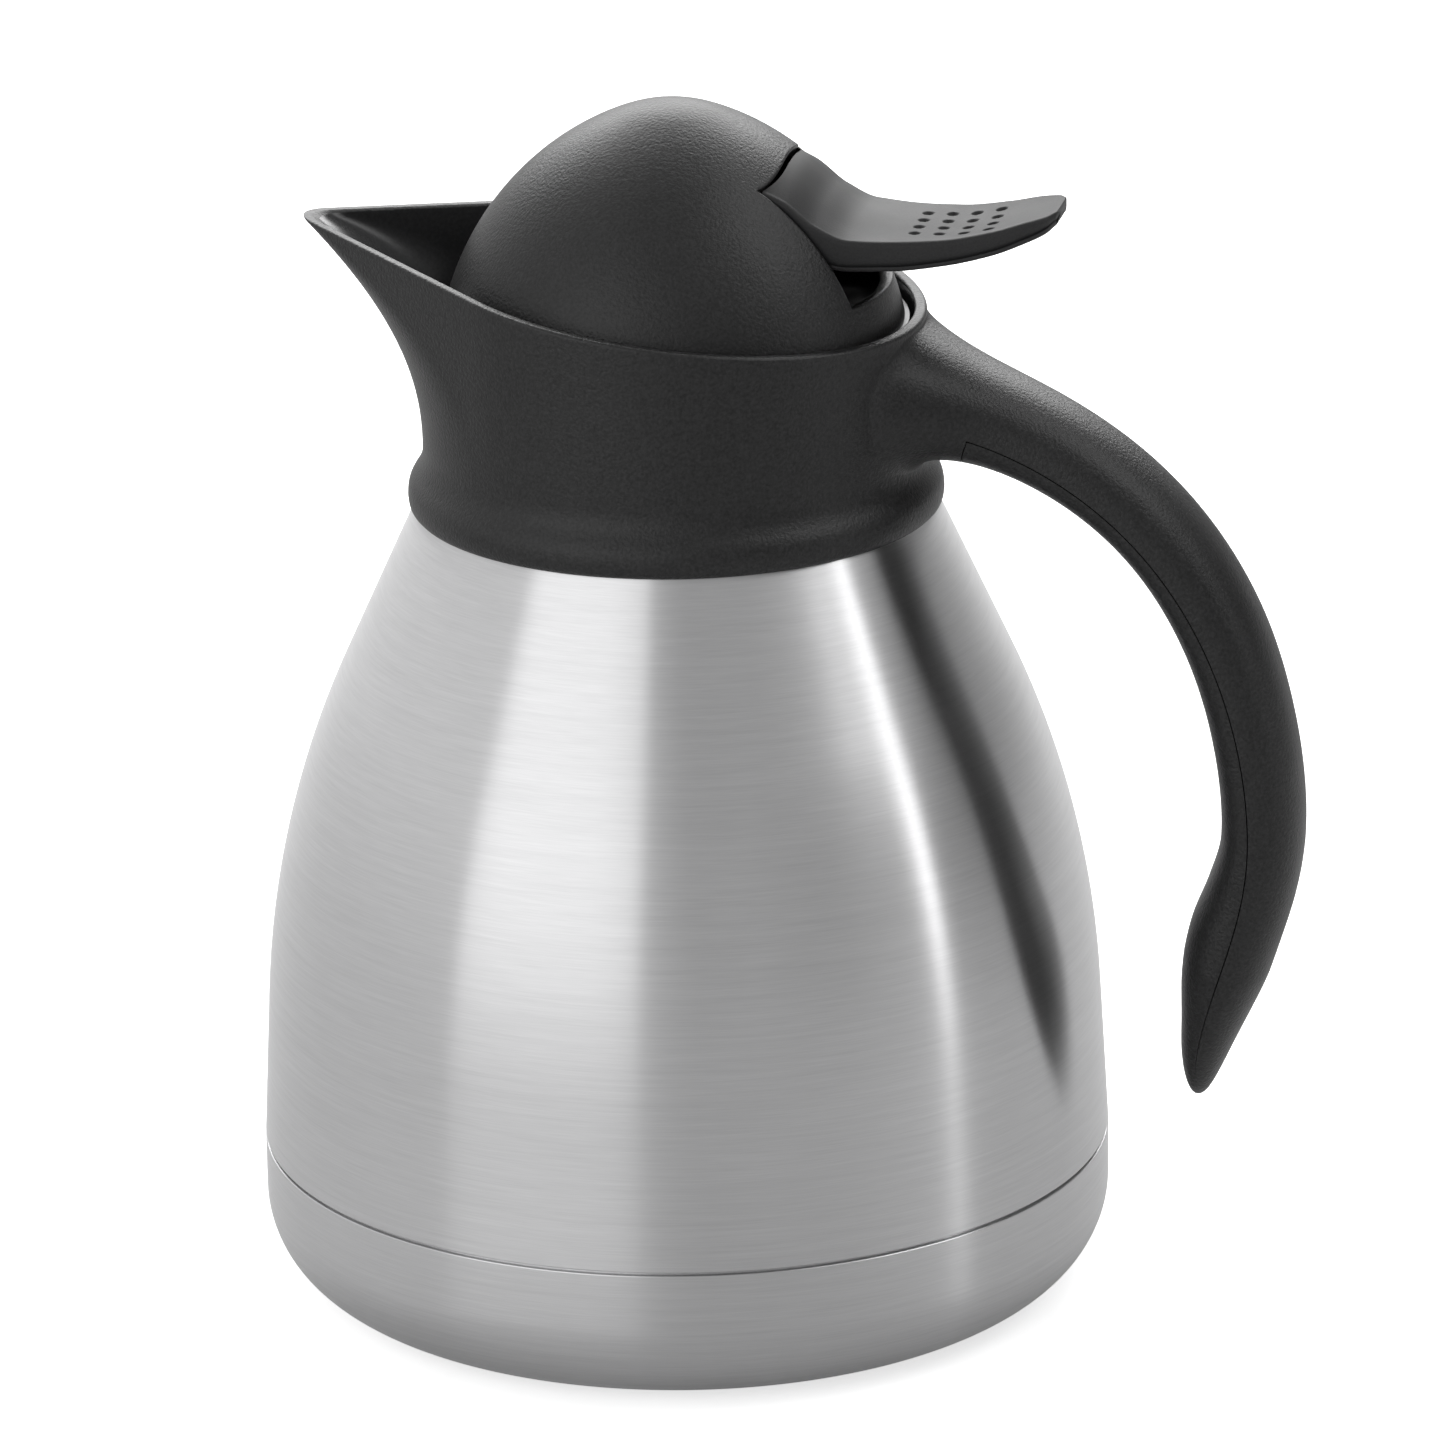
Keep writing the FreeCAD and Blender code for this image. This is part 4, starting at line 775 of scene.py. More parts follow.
@dataclass
class Collar:
    """Moulded collar with bead and spout, and the hollow handle with its inner cover."""

    # Cup with spout, rim, shelf and bore
    radius: float = 41.0
    wall: float = 2.0
    waist: float = 142.6
    rim_middle: float = 170.4
    rim_tilt: float = 7.5
    rim_round: float = 0.6
    reach: float = 61.5
    nose: float = 5.4
    lift: float = 2.3
    shelf_top: float = 153.0
    shelf_low: float = 150.8
    bore: float = 36.3
    neck_bore: float = 38.4
    throat: float = 142.4
    foot_bore: float = 42.72
    foot_edge: float = 132.8
    bead: tuple = ((42.8, 132.7), (43.25, 133.2), (43.55, 134.4), (43.55, 135.6), (43.3, 136.9),
                   (42.75, 138.0), (42.1, 139.0), (41.5, 140.2), (41.15, 141.4), (41.0, 142.6))

    # Line of the handle, x and z
    root: tuple = (39.7, 151.3)
    root_slope: float = 11.1
    root_pull: float = 58.8
    crown: tuple = (95.6, 82.0)
    crown_pull: float = 1.5
    tip: tuple = (86.0, 35.0)
    tip_pull: float = 17.0

    # Sections of the handle, with rows of height, outer depth and inner depth
    depths: tuple = ((34.0, 6.6, 4.8), (47.0, 6.8, 5.4), (56.0, 7.0, 7.0), (64.0, 7.1, 7.8),
                     (72.0, 7.4, 6.9), (82.0, 7.7, 5.6), (99.0, 7.8, 5.4), (116.0, 8.2, 5.0),
                     (133.0, 8.3, 4.6), (152.0, 8.3, 5.2))
    half_width: float = 11.25
    root_half_width: float = 17.5
    root_depth: float = 5.6
    root_crest: float = 4.6
    flare: float = 6.5
    tip_length: float = 24.0
    tip_power: float = 1.3
    power: float = 2.3

    # Foot of the handle on the cup, and joint of the handle's cover
    blend_start: float = 46.0
    foot_top: float = 0.3
    foot_side: float = 4.5
    foot_under: float = 2.6
    foot_pull: float = 0.56
    cover_start: float = 50.0
    gap: float = 0.18
    lip: float = 1.4

    # Samples and rounds of solving
    columns: int = 400
    crowding: float = 0.28
    bead_rows: int = 36
    wall_rows: int = 70
    rim_rows: int = 7
    inside_rows: int = 50
    line_rows: int = 140
    half_columns: int = 61
    foot_rows: int = 22
    rim_rounds: int = 30
    foot_rounds: int = 12

    def distance(self, angle: np.ndarray, height: np.ndarray, inset: float) -> np.ndarray:
        """Distance of the level outline from the axis: a circle and a nose circle, joined by tangents.

        Args:
            angle: Angle from the spout, in radians.
            height: Height of the outline.
            inset: Distance inside the outer face.

        Returns:
            The distances.
        """
        tip_height = self.rim_middle + self.reach * math.tan(math.radians(self.rim_tilt))
        share = np.maximum(0.0, (height - self.waist) / (tip_height - self.waist))
        reach = self.radius + (self.reach - self.radius) * share**self.lift
        slope = (self.radius - self.nose) / (self.reach - self.nose)
        nose = (self.radius - slope * reach) / (1 - slope) - inset
        middle = reach - nose - inset
        radius = self.radius - inset
        edge = math.acos(slope)
        turned = np.abs((angle + np.pi) % (2 * np.pi) - np.pi)
        corner = np.arctan2(nose * math.sin(edge), middle + nose * math.cos(edge))
        straight = radius / np.cos(np.maximum(edge - turned, 0.0))
        inside = np.maximum(nose**2 - (middle * np.sin(turned))**2, 0.0)
        tip = middle * np.cos(turned) + np.sqrt(inside)
        return np.where(turned >= edge, radius, np.where(turned >= corner, straight, tip))

    def ring(self, angle: np.ndarray, height: np.ndarray, inset: float) -> np.ndarray:
        """Points of the outline, moved inwards by an inset, at a height for each angle."""
        return polar(-self.distance(angle, height, inset), angle, height)

    def rim_height(self, angle: np.ndarray, inset: float, drop: float) -> np.ndarray:
        """Height at which the outline meets the slanted rim, less a drop, found by repeated steps.

        Args:
            angle: Angles from the spout.
            inset: Distance inside the outer face.
            drop: Distance below the rim's plane.

        Returns:
            Height at each angle.
        """
        slope = math.tan(math.radians(self.rim_tilt))
        height = np.full(angle.shape, self.rim_middle)
        for _ in range(self.rim_rounds):
            height = self.rim_middle - drop + slope * self.distance(angle, height, inset) * np.cos(angle)
        return height

    def cup(self) -> list[Patch]:
        """Collar wall: bead, outer face, rounded rim, inner face, shelf and bore, round the axis.

        Returns:
            Outer patch and glossy inner patch, whose lighter grey is painted light on the shaded inside.
        """
        spread = np.linspace(-1, 1, self.columns, endpoint=False)
        angle = np.pi * ((1 - self.crowding) * spread + self.crowding * spread**3)
        bead = [polar(-r, angle, z) for r, z in smooth_curve(self.bead, self.bead_rows)]
        rounding = self.rim_round
        rise = self.rim_height(angle, 0.0, rounding) - self.waist
        shares = np.linspace(0, 1, self.wall_rows)[1:]
        outer = [self.ring(angle, self.waist + rise * t, 0.0) for t in shares]
        turn = np.linspace(0, np.pi / 2, self.rim_rows)[1:]
        near = [(rounding * (1 - math.cos(a)), rounding * (1 - math.sin(a))) for a in turn]
        far = [(self.wall - s, d) for s, d in near[::-1]]
        rim = [self.ring(angle, self.rim_height(angle, s, d), s) for s, d in near + far]
        low = self.rim_height(angle, self.wall, rounding)
        shares = np.linspace(0, 1, self.inside_rows)
        inner = [self.ring(angle, low + (self.shelf_top - low) * t, self.wall) for t in shares]
        steps = ((self.bore, self.shelf_top), (self.bore, self.shelf_low), (self.neck_bore, self.shelf_low),
                 (self.neck_bore, self.throat), (self.foot_bore, self.foot_edge), self.bead[0])
        below = [polar(-r, angle, z) for r, z in steps]
        outside = Patch(np.stack(bead + outer + rim), wrap_columns=True)
        # The inner faces take the second finish, whose lighter grey is painted light.
        inside = Patch(np.stack([rim[-1]] + inner + below), wrap_columns=True, finish=1)
        return [outside, inside]

    def line(self) -> tuple[np.ndarray, np.ndarray]:
        """Points and directions along the handle's parting line, two cubic curves end to end.

        Returns:
            Points and unit directions, x and z.
        """
        slope = math.radians(self.root_slope)
        root, crown, tip = (np.asarray(p, float) for p in (self.root, self.crown, self.tip))
        out = np.array([math.cos(slope), -math.sin(slope)])
        up = np.array([0.0, 1.0])
        curves = (
            (root, root + out * self.root_pull, crown + up * self.crown_pull, crown),
            (crown, crown - up * self.tip_pull, tip + up * self.tip_pull, tip),
        )
        t = np.linspace(0, 1, self.line_rows)[:, None]
        spots = [bezier(*curve, t) for curve in curves]
        ways = [3 * (b - a) * (1 - t)**2 + 6 * (c - b) * (1 - t) * t + 3 * (d - c) * t**2
                for a, b, c, d in curves]
        spot, way = (np.concatenate([first, last[1:]]) for first, last in (spots, ways))
        return spot, way / np.linalg.norm(way, axis=1, keepdims=True)

    def taper(self, spot: np.ndarray) -> np.ndarray:
        """Share of the tip's length that lies below each point of the line, at most 1."""
        return np.clip((spot[:, 1:] - self.tip[1]) / self.tip_length, 0.0, 1.0)

    def sections(self, spot: np.ndarray, way: np.ndarray, turn: np.ndarray) -> np.ndarray:
        """Rounded sections square to the handle's line: a superellipse, its halves of unlike depth.

        Args:
            spot: Points of the line.
            way: Directions of the line.
            turn: Angles round a section, from one side over the outer half.

        Returns:
            Array of sections, angles and three coordinates.
        """
        flare = np.exp(-np.maximum(0.0, spot[:, :1] - self.root[0]) / self.flare)
        close = np.sqrt(1 - (1 - self.taper(spot))**self.tip_power)
        across, along = (np.sign(w) * np.abs(w)**(2 / self.power) for w in (np.cos(turn), np.sin(turn)))
        width = (self.half_width + flare * (self.root_half_width - self.half_width)) * close
        outer, inner = table_curve(self.depths, spot[:, 1:])
        depth = np.where(along > 0, outer + flare * self.root_crest, inner + flare * self.root_depth)
        out = depth * close * along
        return join(spot[:, :1] - way[:, 1:] * out, width * across, spot[:, 1:] + way[:, :1] * out)

    def blend(self, ring: np.ndarray, slope: np.ndarray) -> np.ndarray:
        """Fillet between a section and the collar: curves along the wall first and along the handle last.

        Args:
            ring: Points of the section.
            slope: Direction of the handle's skin towards the collar at each point.

        Returns:
            Array of rows, points and three coordinates, wall first.
        """
        lean = slope / -slope[:, :1]
        run = ring[:, 0] - self.radius
        for _ in range(self.foot_rounds):
            side = ring[:, 1] + run * lean[:, 1]
            run = ring[:, 0] - np.sqrt(self.radius**2 - side**2)
        corner = ring + run[:, None] * lean
        offset = (corner - corner.mean(axis=0))[:, 1:]
        y, z = (offset / np.linalg.norm(offset, axis=1, keepdims=True)).T
        grow = self.foot_side * y**2 + np.where(z > 0, self.foot_top, self.foot_under) * z**2
        foot_y = corner[:, 1] + y * grow
        foot = join(np.sqrt(self.radius**2 - foot_y**2), foot_y, corner[:, 2] + z * grow)
        first, second = (end + self.foot_pull * (corner - end) for end in (foot, ring))
        return bezier(foot, first, second, ring, np.linspace(0, 1, self.foot_rows)[:, None, None])

    def half_shell(self, spot: np.ndarray, way: np.ndarray, turn: np.ndarray) -> Patch:
        """Half of the hollow handle: a skin whose edges stand off the parting line and fold inwards.

        Args:
            spot: Points of the line.
            way: Directions of the line.
            turn: Angles round a section, from one side to the other.

        Returns:
            The half as one patch.
        """
        skin = self.sections(spot, way, turn)
        sides = skin[:, [0, -1]]
        sense = 1.0 if turn.mean() < np.pi else -1.0
        outward = join(-way[:, 1], 0.0, way[:, 0])[:, None] * sense
        edge = sides + outward * self.gap / 2 * self.taper(spot)[:, None]
        middle = join(spot[:, 0], 0.0, spot[:, 1])[:, None]
        fold = edge + (middle - sides) * self.lip / self.half_width
        columns = [fold[:, :1], edge[:, :1], skin[:, 1:-1], edge[:, 1:], fold[:, 1:]]
        return Patch(np.concatenate(columns, axis=1))

    def handle(self) -> tuple[list[Patch], list[Patch]]:
        """Outer shell of the handle with its blend into the collar, and the inner cover.

        Returns:
            Patches of the outer shell and of the cover.
        """
        spot, way = self.line()
        rising = spot[:self.line_rows, 0]
        start, split = (int(np.searchsorted(rising, x)) for x in (self.blend_start, self.cover_start))
        half = np.linspace(0, np.pi, self.half_columns)
        full = np.concatenate([half, np.pi + half[1:-1]])
        root = self.sections(spot[start:split + 1], way[start:split + 1], full)
        neck = np.concatenate([self.blend(root[0], root[0] - root[1]), root[1:]])
        step = np.concatenate([neck[-1][self.half_columns - 1:], neck[-1][:1]])
        spot, way = spot[split:], way[split:]
        outer = self.half_shell(spot, way, half)
        ahead = spot[1] - spot[0]
        spot[0] += ahead * (self.gap / np.linalg.norm(ahead))
        cover = self.half_shell(spot, way, half + np.pi)
        shell = [Patch(neck, wrap_columns=True), outer, flat_end(step)]
        return shell, [cover, flat_end(cover.points[0])]

    def build(self, shop: FinishShop) -> None:
        """Make the collar with the handle's outer shell, and the handle's cover.

        Args:
            shop: Source of the materials.
        """
        shell, cover = self.handle()
        finishes = [Finish.BLACK_MOULDING, Finish.GLOSSY_PAINTED_LIGHT_INSIDE]
        Piece("collar_skin", self.cup() + shell, finishes, Body.VESSEL, ["collar"]).make(shop)
        Piece("handle_cover_skin", cover, finishes[:1], Body.VESSEL, ["handle_cover"]).make(shop)


@dataclass
class Dome:
    """Domed cover of the lid with the lever's slot.

    Rows run up to the slot's front corners, along its sides and behind it. Columns are
    those of the sheet round the slot, the sheet before it and the one behind it.
    """

    foot: float = 163.5
    top: float = 199.5
    crown_round: float = 23.5
    side_round: float = 46.8
    joint_angle: float = 21.2
    wall: float = 2.4
    slot_front: float = 19.6
    slot_bow: float = 2.3
    slot_half: float = 14.5
    slot_rise: float = 7.0
    edge: float = 0.35
    edge_steps: int = 2
    edge_angle: float = 50.0
    rows: tuple = (46, 30, 14)
    columns: tuple = (260, 70, 40)

    def side_middle(self) -> tuple[float, float]:
        """Middle of the side arc, on the line through the crown's middle and the joint of the arcs.

        Returns:
            Distance from the axis and height.
        """
        joint = math.radians(self.joint_angle)
        inner = self.crown_round - self.side_round
        return inner * math.sin(joint), self.top - self.crown_round + inner * math.cos(joint)

    def height(self, radius: np.ndarray) -> np.ndarray:
        """Height of the dome's outer face: two tangent arcs.

        Args:
            radius: Distances from the axis.

        Returns:
            Heights.
        """
        side_x, side_z = self.side_middle()
        joint = self.crown_round * math.sin(math.radians(self.joint_angle))
        crown = self.top - self.crown_round + np.sqrt(np.maximum(self.crown_round**2 - radius**2, 0.0))
        side = side_z + np.sqrt(np.maximum(self.side_round**2 - (radius - side_x)**2, 0.0))
        return np.where(radius < joint, crown, side)

    def radius_at(self, height: float) -> float:
        """Distance of the side arc from the axis at a height."""
        side_x, side_z = self.side_middle()
        return side_x + math.sqrt(self.side_round**2 - (height - side_z)**2)

    def corner(self) -> float:
        """Distance of the slot's front corners from the axis."""
        return math.hypot(self.slot_front - self.slot_bow, self.slot_half)

    def bow(self, angle: np.ndarray) -> np.ndarray:
        """Distance of the slot's front edge, a fourth-power bow, as a share of the corners' distance."""
        share = angle / np.arcsin(self.slot_half / self.corner())
        return (self.slot_front - self.slot_bow * share**4) / np.cos(angle) / self.corner()

    def sheet(self, rings: np.ndarray, first: np.ndarray, last: np.ndarray, columns: int,
              stretch: Callable[[np.ndarray], np.ndarray] = np.ones_like) -> Patch:
        """Part of the dome's face over polar rings.

        Args:
            rings: Radius of each ring.
            first: Angle at which each ring starts.
            last: Angle at which each ring ends.
            columns: Number of points on a ring.
            stretch: Share of its radius that a ring has at an angle.

        Returns:
            The part as one patch.
        """
        angle = first[:, None] + (last - first)[:, None] * np.linspace(0, 1, columns)
        radius = rings[:, None] * stretch(angle)
        return Patch(polar(radius, angle, self.height(radius)))

    def patches(self) -> list[Patch]:
        """Dome over polar rings whose ends lie on the slot's sides, and the two bridges of the slot.

        Returns:
            Patches of the outer face.
        """
        corner, low = self.corner(), self.radius_at(self.foot + self.slot_rise)
        stops = (0.0, corner, low, self.radius_at(self.foot))
        inner, middle, outer = (np.linspace(*span) for span in zip(stops, stops[1:], self.rows))
        rings = np.concatenate([inner, middle[1:], outer[1:]])
        half = np.arcsin(self.slot_half / np.clip(rings, corner, low))
        front = np.full(len(inner), half[0])
        back = np.full(len(outer), half[-1])
        round_columns, front_columns, back_columns = self.columns
        return [self.sheet(rings, half, 2 * np.pi - half, round_columns),
                self.sheet(inner, -front, front, front_columns, self.bow),
                self.sheet(outer, -back, back, back_columns)]

    def build(self, shop: FinishShop) -> None:
        """Make the dome with its wall and softened edges.

        Args:
            shop: Source of the materials.
        """
        piece = Piece("dome_cover_skin", self.patches(), [Finish.BLACK_MOULDING], Body.LID, ["dome_cover"])
        thing = piece.make(shop)
        thick = thing.modifiers.new("wall", "SOLIDIFY")
        thick.thickness = self.wall * MM
        thick.offset = -1.0
        thick.use_even_offset = True
        soft = thing.modifiers.new("edges", "BEVEL")
        soft.width = self.edge * MM
        soft.segments = self.edge_steps
        soft.limit_method = "ANGLE"
        soft.angle_limit = math.radians(self.edge_angle)


@dataclass
class Lever:
    """Thumb lever with its dents, hub and fork.

    A row of the table is a place as a share of the reach, the width as a share, and how far
    the top's middle, the top's sides and the underside lie below the top of the pot.
    """

    top: float = 199.5
    reach: float = 63.6
    half_width: float = 14.1
    skin_start: float = 18.0
    front: float = 20.0
    front_bow: float = 2.2
    front_fade: float = 9.0
    edge: float = 0.9
    edge_width_share: float = 0.45
    edge_depth_share: float = 0.4
    pivot: tuple = (18.0, 181.0)
    hub: float = 3.3
    hub_half: float = 10.6
    web: float = 9.3
    fork_height: float = 179.6
    pad: float = 2.2
    prong: tuple = (2.9, 6.1)
    prong_depth: float = 3.1
    dot_start: float = 40.9
    dot_pitch: float = 4.0
    dot_count: int = 4
    dot_radius: float = 1.0
    dot_depth: float = 0.55
    dot_soft: float = 0.4
    dot_margin: float = 2.0
    rows: tuple = (90, 90, 70)
    columns: int = 97
    edge_rows: int = 7
    table: tuple = (
        (0.227, 1.00, 5.6, 9.4, 14.6), (0.33, 1.00, 9.2, 12.0, 17.2), (0.413, 1.00, 13.9, 16.0, 22.3),
        (0.495, 0.98, 17.3, 18.2, 23.4), (0.598, 0.90, 18.6, 18.5, 23.4), (0.722, 0.82, 18.7, 18.2, 22.6),
        (0.846, 0.73, 17.4, 16.9, 20.9), (0.93, 0.63, 15.9, 15.5, 19.0), (0.98, 0.52, 15.0, 14.8, 17.6),
        (1.00, 0.36, 14.6, 14.5, 16.7),
    )

    def dents(self, x: np.ndarray, y: np.ndarray) -> np.ndarray:
        """Depth of the round dents of the thumb pad: a smooth step at each dent's edge.

        Args:
            x: Places along the lever.
            y: Places across the lever.

        Returns:
            Depths.
        """
        last = self.dot_count - 1
        away = []
        for place in ((x - self.dot_start) / self.dot_pitch, y / self.dot_pitch + last / 2):
            away.append(self.dot_pitch * (place - np.clip(np.round(place), 0, last)))
        share = np.clip((self.dot_radius - np.hypot(*away)) / self.dot_soft, 0.0, 1.0)
        return self.dot_depth * share**2 * (3 - 2 * share)

    def quarter(self, x: np.ndarray, half: np.ndarray, soft: np.ndarray, height: np.ndarray,
                drop: np.ndarray) -> np.ndarray:
        """Quarter ellipse from the edge of the top or underside to a side of the lever.

        Args:
            x: Places along the lever.
            half: Place of the side.
            soft: Size of the rounding across, with the sign of the side.
            height: Height of the top or underside.
            drop: Size of the rounding downwards.

        Returns:
            Array of places, angles and three coordinates.
        """
        bend = np.linspace(0, np.pi / 2, self.edge_rows)
        return join(x, half - soft * (1 - np.sin(bend)), height - drop * (1 - np.cos(bend)))

    def skin(self) -> list[Patch]:
        """Lever skin: closed sections with an arched top, soft edges and a flat underside, along its reach.

        Returns:
            Patches of the skin, its front face and its end.
        """
        pad_low = self.dot_start - self.dot_margin
        pad_high = self.dot_start + self.dot_pitch * self.dot_count
        arm_rows, pad_rows, tip_rows = self.rows
        along = np.concatenate([np.linspace(self.skin_start, pad_low, arm_rows, endpoint=False),
                                np.linspace(pad_low, pad_high, pad_rows, endpoint=False),
                                np.linspace(pad_high, self.reach, tip_rows)])[:, None]
        share = (along - self.skin_start) / (self.reach - self.skin_start)
        across = np.linspace(-1, 1, self.columns)
        start = self.front - self.front_bow * across**4
        x = along + (start - self.skin_start) * np.exp(-share * self.front_fade) * (1 - share)
        width, middle, rim, under = table_curve(self.table, x / self.reach)
        half = self.half_width * width
        soft = np.minimum(self.edge, self.edge_width_share * half)
        y = (half - soft) * across
        upper = self.top - (middle + (rim - middle) * across**2) - self.dents(x, y)
        lower = self.top - under
        drop = np.minimum(soft, self.edge_depth_share * (upper - lower))
        edges = []
        for column, sign in ((-1, 1.0), (0, -1.0)):
            side = [grid[:, [column]] for grid in (x, sign * half, sign * soft)]
            for height, size in ((upper, drop), (lower, -drop)):
                edges.append(self.quarter(*side, height[:, [column]], size[:, [column]]))
        far_top, far_low, near_top, near_low = edges
        top = join(x, y, upper)
        bottom = join(x, y, lower)
        loop = np.concatenate([top, far_top, far_low[:, ::-1], bottom[:, ::-1],
                               near_low[:, ::-1], near_top[:, ::-1]], axis=1)
        front = np.stack([top[0], bottom[0]])
        end = np.stack([loop[-1], np.broadcast_to(loop[-1].mean(axis=0), loop[-1].shape)])
        return [Patch(loop, wrap_columns=True), Patch(front), Patch(end, wrap_columns=True)]

    def arm(self) -> list[Patch]:
        """Hub, web and fork under the skin.

        Returns:
            Patches of the arm.
        """
        x, z = self.pivot
        wide = self.hub_half
        near, far = self.prong
        low = self.fork_height - self.pad
        pieces = [cross_rod(self.pivot, -wide, wide, self.hub),
                  block((x, -wide, z - self.hub), (x + self.web, wide, z))]
        for start, end in ((near, far), (-far, -near)):
            pieces.append(block((0.0, start, low), (x, end, low + self.prong_depth)))
            pieces.append(cross_rod((0.0, self.fork_height), start, end, self.pad))
        return pieces

    def build(self, shop: FinishShop) -> None:
        """Make the lever with a material from the shop."""
        Piece("pour_lever_skin", self.skin() + self.arm(), [Finish.LEVER_MOULDING], Body.LEVER,
              ["pour_lever"], sharp=50.0).make(shop)


@dataclass
class ValveSpring:
    """Coil spring of the valve, built at one length; it does not shorten as the valve lifts."""

    low: float = 129.9
    high: float = 163.0
    anchor: float = 163.5
    radius: float = 6.5
    wire: float = 0.9
    turns: int = 7
    travel: float = 3.9
    turn_rows: int = 64
    columns: int = 14

    def build(self, shop: FinishShop) -> None:
        """Make the coil: a circle swept along a helix, drawn in at both ends.

        Args:
            shop: Source of the materials.
        """
        share = np.linspace(0, 1, self.turn_rows * self.turns)[:, None]
        angle = 2 * np.pi * self.turns * share
        rise = (self.high - self.low) / (2 * np.pi * self.turns)
        bend = np.linspace(0, 2 * np.pi, self.columns, endpoint=False)
        size = np.hypot(self.radius, rise)
        out = self.radius + self.wire / 2 * np.cos(bend)
        up = self.wire / 2 * np.sin(bend)
        x = out * np.cos(angle) + up * rise / size * np.sin(angle)
        y = out * np.sin(angle) - up * rise / size * np.cos(angle)
        tube = join(x, y, self.low + (self.high - self.low) * share + up * self.radius / size)
        first, last = (np.broadcast_to(ring.mean(axis=0), (1, *ring.shape)) for ring in tube[[0, -1]])
        coil = Patch(np.concatenate([first, tube, last]), wrap_columns=True)
        piece = Piece("valve_spring_coil", [coil], [Finish.SPRING_WIRE], Body.LID, ["valve_spring"])
        thing = piece.make(shop)
        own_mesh(thing)


@dataclass
class InnerPieces:
    """CAD nodes that show as they are, with their finishes."""

    finishes: dict[Finish, tuple[str, ...]] = field(default_factory=lambda: {
        Finish.INNER_STEEL: ("inner_flask", "inner_flask_bottom"),
        Finish.SOLDER: ("getter", "vacuum_plug"),
        Finish.SILICONE: ("mouth_gasket", "stopper_gasket", "valve_seal"),
        Finish.LID_INNER: ("neck_ring", "stopper_body", "lever_carrier", "stem_guide", "valve_stem",
                           "stem_cap", "valve_head"),
        Finish.SPRING_WIRE: ("carrier_screws", "lever_pin"),
    })

    def build(self, shop: FinishShop) -> None:
        """Give each node its material.

        Args:
            shop: Source of the materials.
        """
        for finish, names in self.finishes.items():
            for name in names:
                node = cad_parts[name]
                node.data.materials.clear()
                node.data.materials.append(shop.material(finish))
                LOG.info("%s: %s", name, finish.value)


# Stage


def direction(azimuth: float, elevation: float) -> Vector:
    """Unit vector from the pot in a direction.

    Args:
        azimuth: Angle in degrees, 0 towards -Y and 90 towards +X.
        elevation: Angle above the floor in degrees.

    Returns:
        The vector.
    """
    a, e = math.radians(azimuth), math.radians(elevation)
    return Vector((math.sin(a) * math.cos(e), -math.cos(a) * math.cos(e), math.sin(e)))


@dataclass(frozen=True)
class Card:
    """One soft light.

    Args:
        name: Name of the light.
        azimuth: Direction from the pot, in degrees, 0 towards -Y and 90 towards +X.
        elevation: Angle of the light's middle above the floor, in degrees.
        distance: Distance in metres.
        size: Width and height in metres.
        power: Power in watts.
    """

    name: str
    azimuth: float
    elevation: float
    distance: float
    size: tuple[float, float]
    power: float


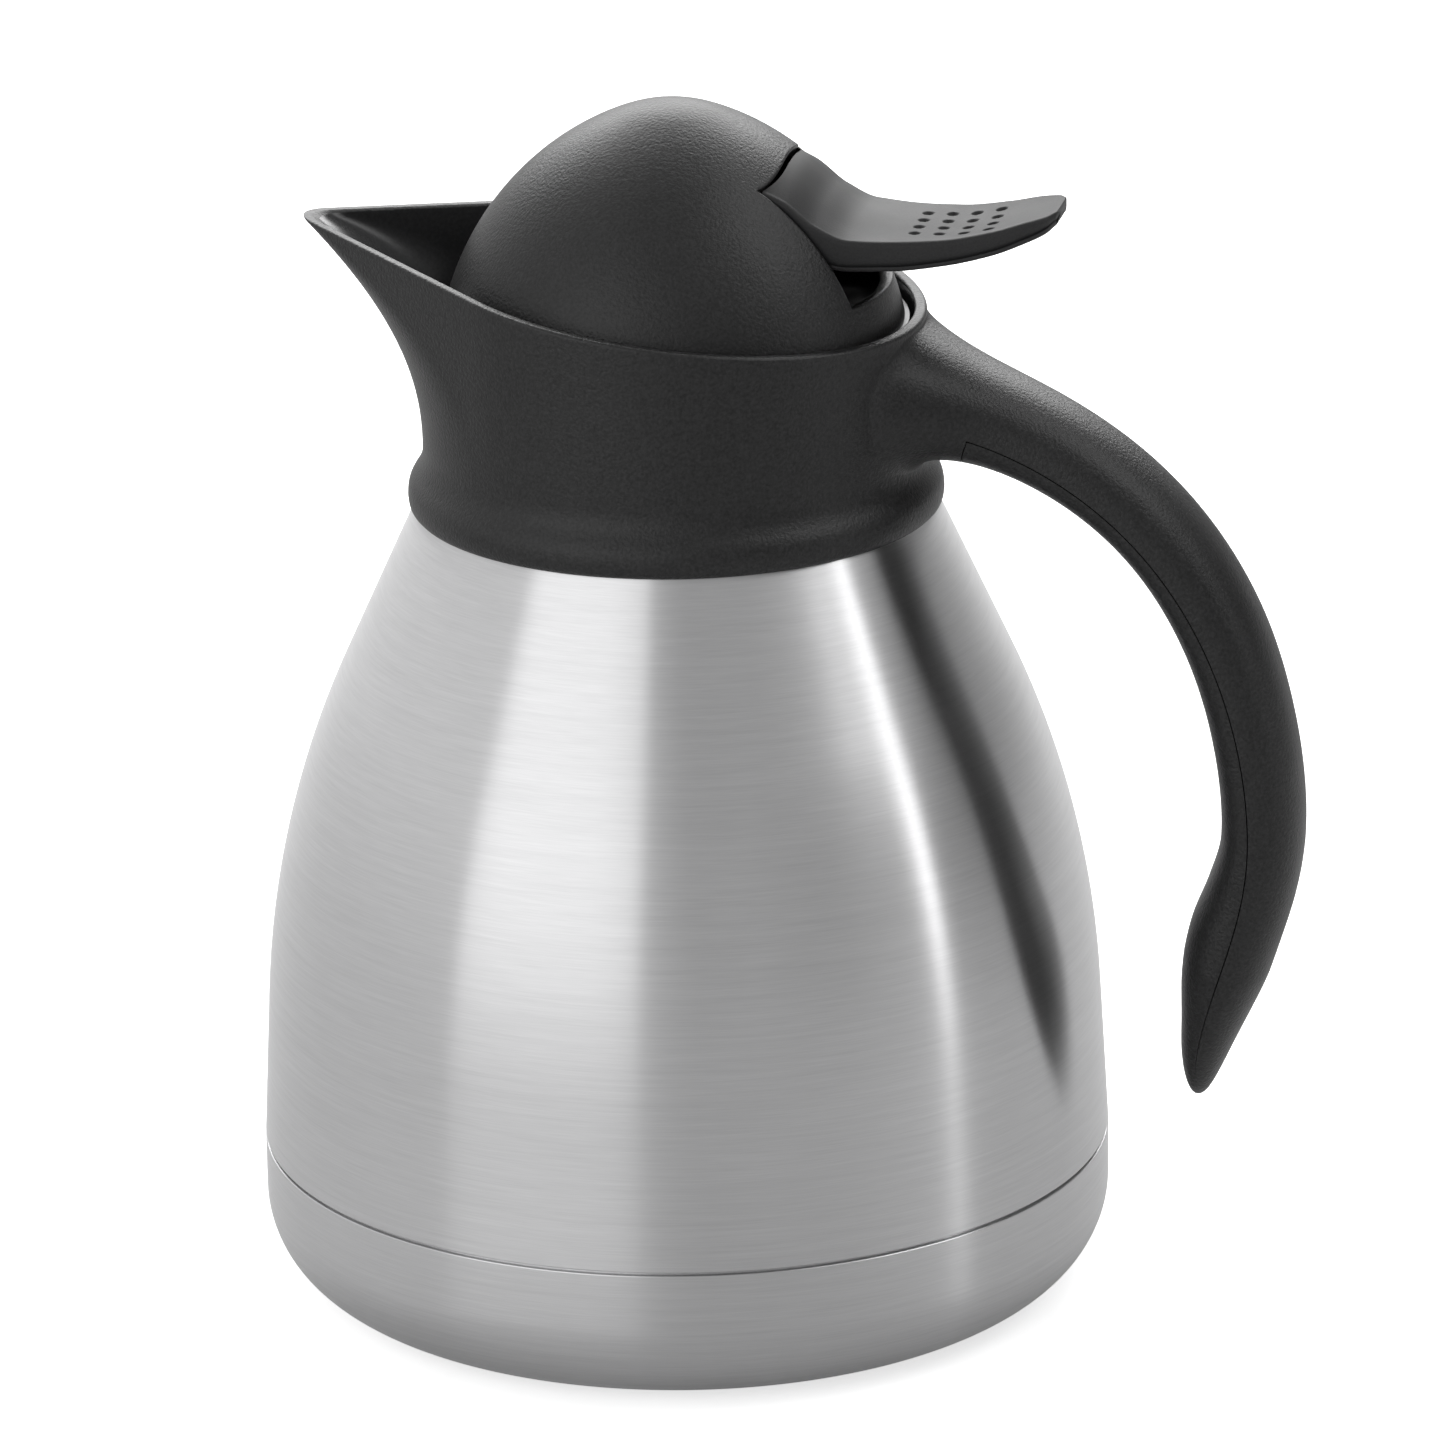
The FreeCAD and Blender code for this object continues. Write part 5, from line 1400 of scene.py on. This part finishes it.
@dataclass
class Studio:
    """Floor, lights, white background and the camera at the photograph's angle, in metres.

    The room's level runs from left to front over a range of facing to the camera's right,
    and falls to a share of that over the right range.
    """

    azimuth: float = 12.1
    elevation: float = 18.7
    distance: float = 1.5
    roll: float = -0.9
    lens: float = 228.0
    sensor: float = 36.0
    clip: tuple = (0.05, 50.0)
    aim_height: float = 0.0942
    aim_right: float = 0.0069
    floor_size: float = 6.0
    floor_shades: tuple = (0.88, 0.92)
    floor_glow: float = 0.62
    mirrored_shade: float = 0.42
    mirrored_glow: float = 0.1
    left_level: float = 0.84
    front_level: float = 0.44
    left_range: tuple = (-0.4, 0.02)
    right_share: float = 0.4
    right_range: tuple = (0.35, 0.85)
    cards: tuple[Card, ...] = (
        Card("key_card", -26.0, 3.0, 0.95, (0.92, 1.5), 3.2),
        Card("back_card", 192.0, 36.0, 1.25, (1.3, 0.9), 16.0),
        Card("right_card", 86.0, 25.0, 1.0, (0.08, 1.2), 0.9),
        Card("side_card", 95.0, 52.0, 1.1, (0.7, 0.7), 3.0),
    )

    def build(self) -> None:
        """Make the floor, the world, the lights and the camera."""
        self.make_floor()
        self.make_world()
        for card in self.cards:
            self.make_light(card)
        self.make_camera()

    def right(self) -> Vector:
        """Direction to the camera's right, before its roll."""
        return direction(self.azimuth + 90.0, 0.0)

    def make_floor(self) -> None:
        """Pale floor that keeps the shadow and shows darker in reflections."""
        half = self.floor_size / 2
        corners = [(-half, -half, 0), (half, -half, 0), (half, half, 0), (-half, half, 0)]
        mesh = bpy.data.meshes.new("floor")
        mesh.from_pydata(corners, [], [(0, 1, 2, 3)])
        floor = place_object("floor", mesh)
        made = bpy.data.materials.new("pale_floor")
        graph = Graph.of(made)
        glossy = graph.add("ShaderNodeLightPath").outputs["Is Glossy Ray"]
        fine = graph.noise(graph.place("Object"), scale=60.0, detail=3.0)
        shade = graph.spread(fine, graph.noise_range, self.floor_shades)
        pale = graph.lit_matte(graph.grey(shade), self.floor_glow)
        dim = graph.lit_matte((*[self.mirrored_shade] * 3, 1.0), self.mirrored_glow)
        mixed = graph.out("ShaderNodeMixShader", {0: glossy, 1: pale, 2: dim})
        graph.add("ShaderNodeOutputMaterial", {"Surface": mixed})
        mesh.materials.append(made)

    def make_world(self) -> None:
        """White background for the camera, and a soft room that is darker on the handle's side."""
        world = bpy.data.worlds.new("studio")
        bpy.context.scene.world = world
        graph = Graph.of(world)
        camera = graph.add("ShaderNodeLightPath").outputs["Is Camera Ray"]
        values = {0: graph.place("Generated"), 1: self.right()}
        facing = graph.add("ShaderNodeVectorMath", values, operation="DOT_PRODUCT").outputs["Value"]
        left = graph.spread(facing, self.left_range, (self.left_level, self.front_level))
        level = graph.math("MULTIPLY", left, graph.spread(facing, self.right_range, (1.0, self.right_share)))
        room, white = (graph.out("ShaderNodeBackground", {"Color": WHITE, "Strength": strength})
                       for strength in (level, 1.0))
        mixed = graph.out("ShaderNodeMixShader", {0: camera, 1: room, 2: white})
        graph.add("ShaderNodeOutputWorld", {"Surface": mixed})

    def make_light(self, card: Card) -> None:
        """Add one soft light that looks at the pot.

        Args:
            card: The light's numbers.
        """
        data = bpy.data.lights.new(card.name, "AREA")
        data.shape = "RECTANGLE"
        data.size, data.size_y = card.size
        data.energy = card.power
        light = place_object(card.name, data)
        way = direction(card.azimuth, card.elevation)
        light.location = way * card.distance + Vector((0, 0, self.aim_height))
        light.rotation_mode = "QUATERNION"
        light.rotation_quaternion = (-way).to_track_quat("-Z", "Y")
        light.visible_camera = False

    def make_camera(self) -> None:
        """Camera at the photograph's angle, with its slight roll."""
        back = direction(self.azimuth, self.elevation)
        right = self.right()
        roll = math.radians(self.roll)
        rolled_right = right * math.cos(roll) + back.cross(right) * math.sin(roll)
        rolled_up = back.cross(rolled_right)
        target = Vector((0, 0, self.aim_height)) + right * self.aim_right
        place = Matrix((rolled_right, rolled_up, back)).transposed().to_4x4()
        place.translation = target + back * self.distance
        data = bpy.data.cameras.new("camera")
        data.lens = self.lens
        data.sensor_width = self.sensor
        data.clip_start, data.clip_end = self.clip
        camera = place_object("camera", data)
        camera.matrix_world = place
        bpy.context.scene.camera = camera
        bpy.context.scene.view_settings.view_transform = "Standard"


def main() -> None:
    """Dress the whole pot and set the stage."""
    logging.basicConfig(level=logging.INFO, format="%(name)s %(message)s")
    shop = FinishShop()
    for part in (SteelVessel(), Collar(), Dome(), Lever(), ValveSpring(), InnerPieces()):
        part.build(shop)
    Studio().build()


if __name__ == "__main__":
    main()
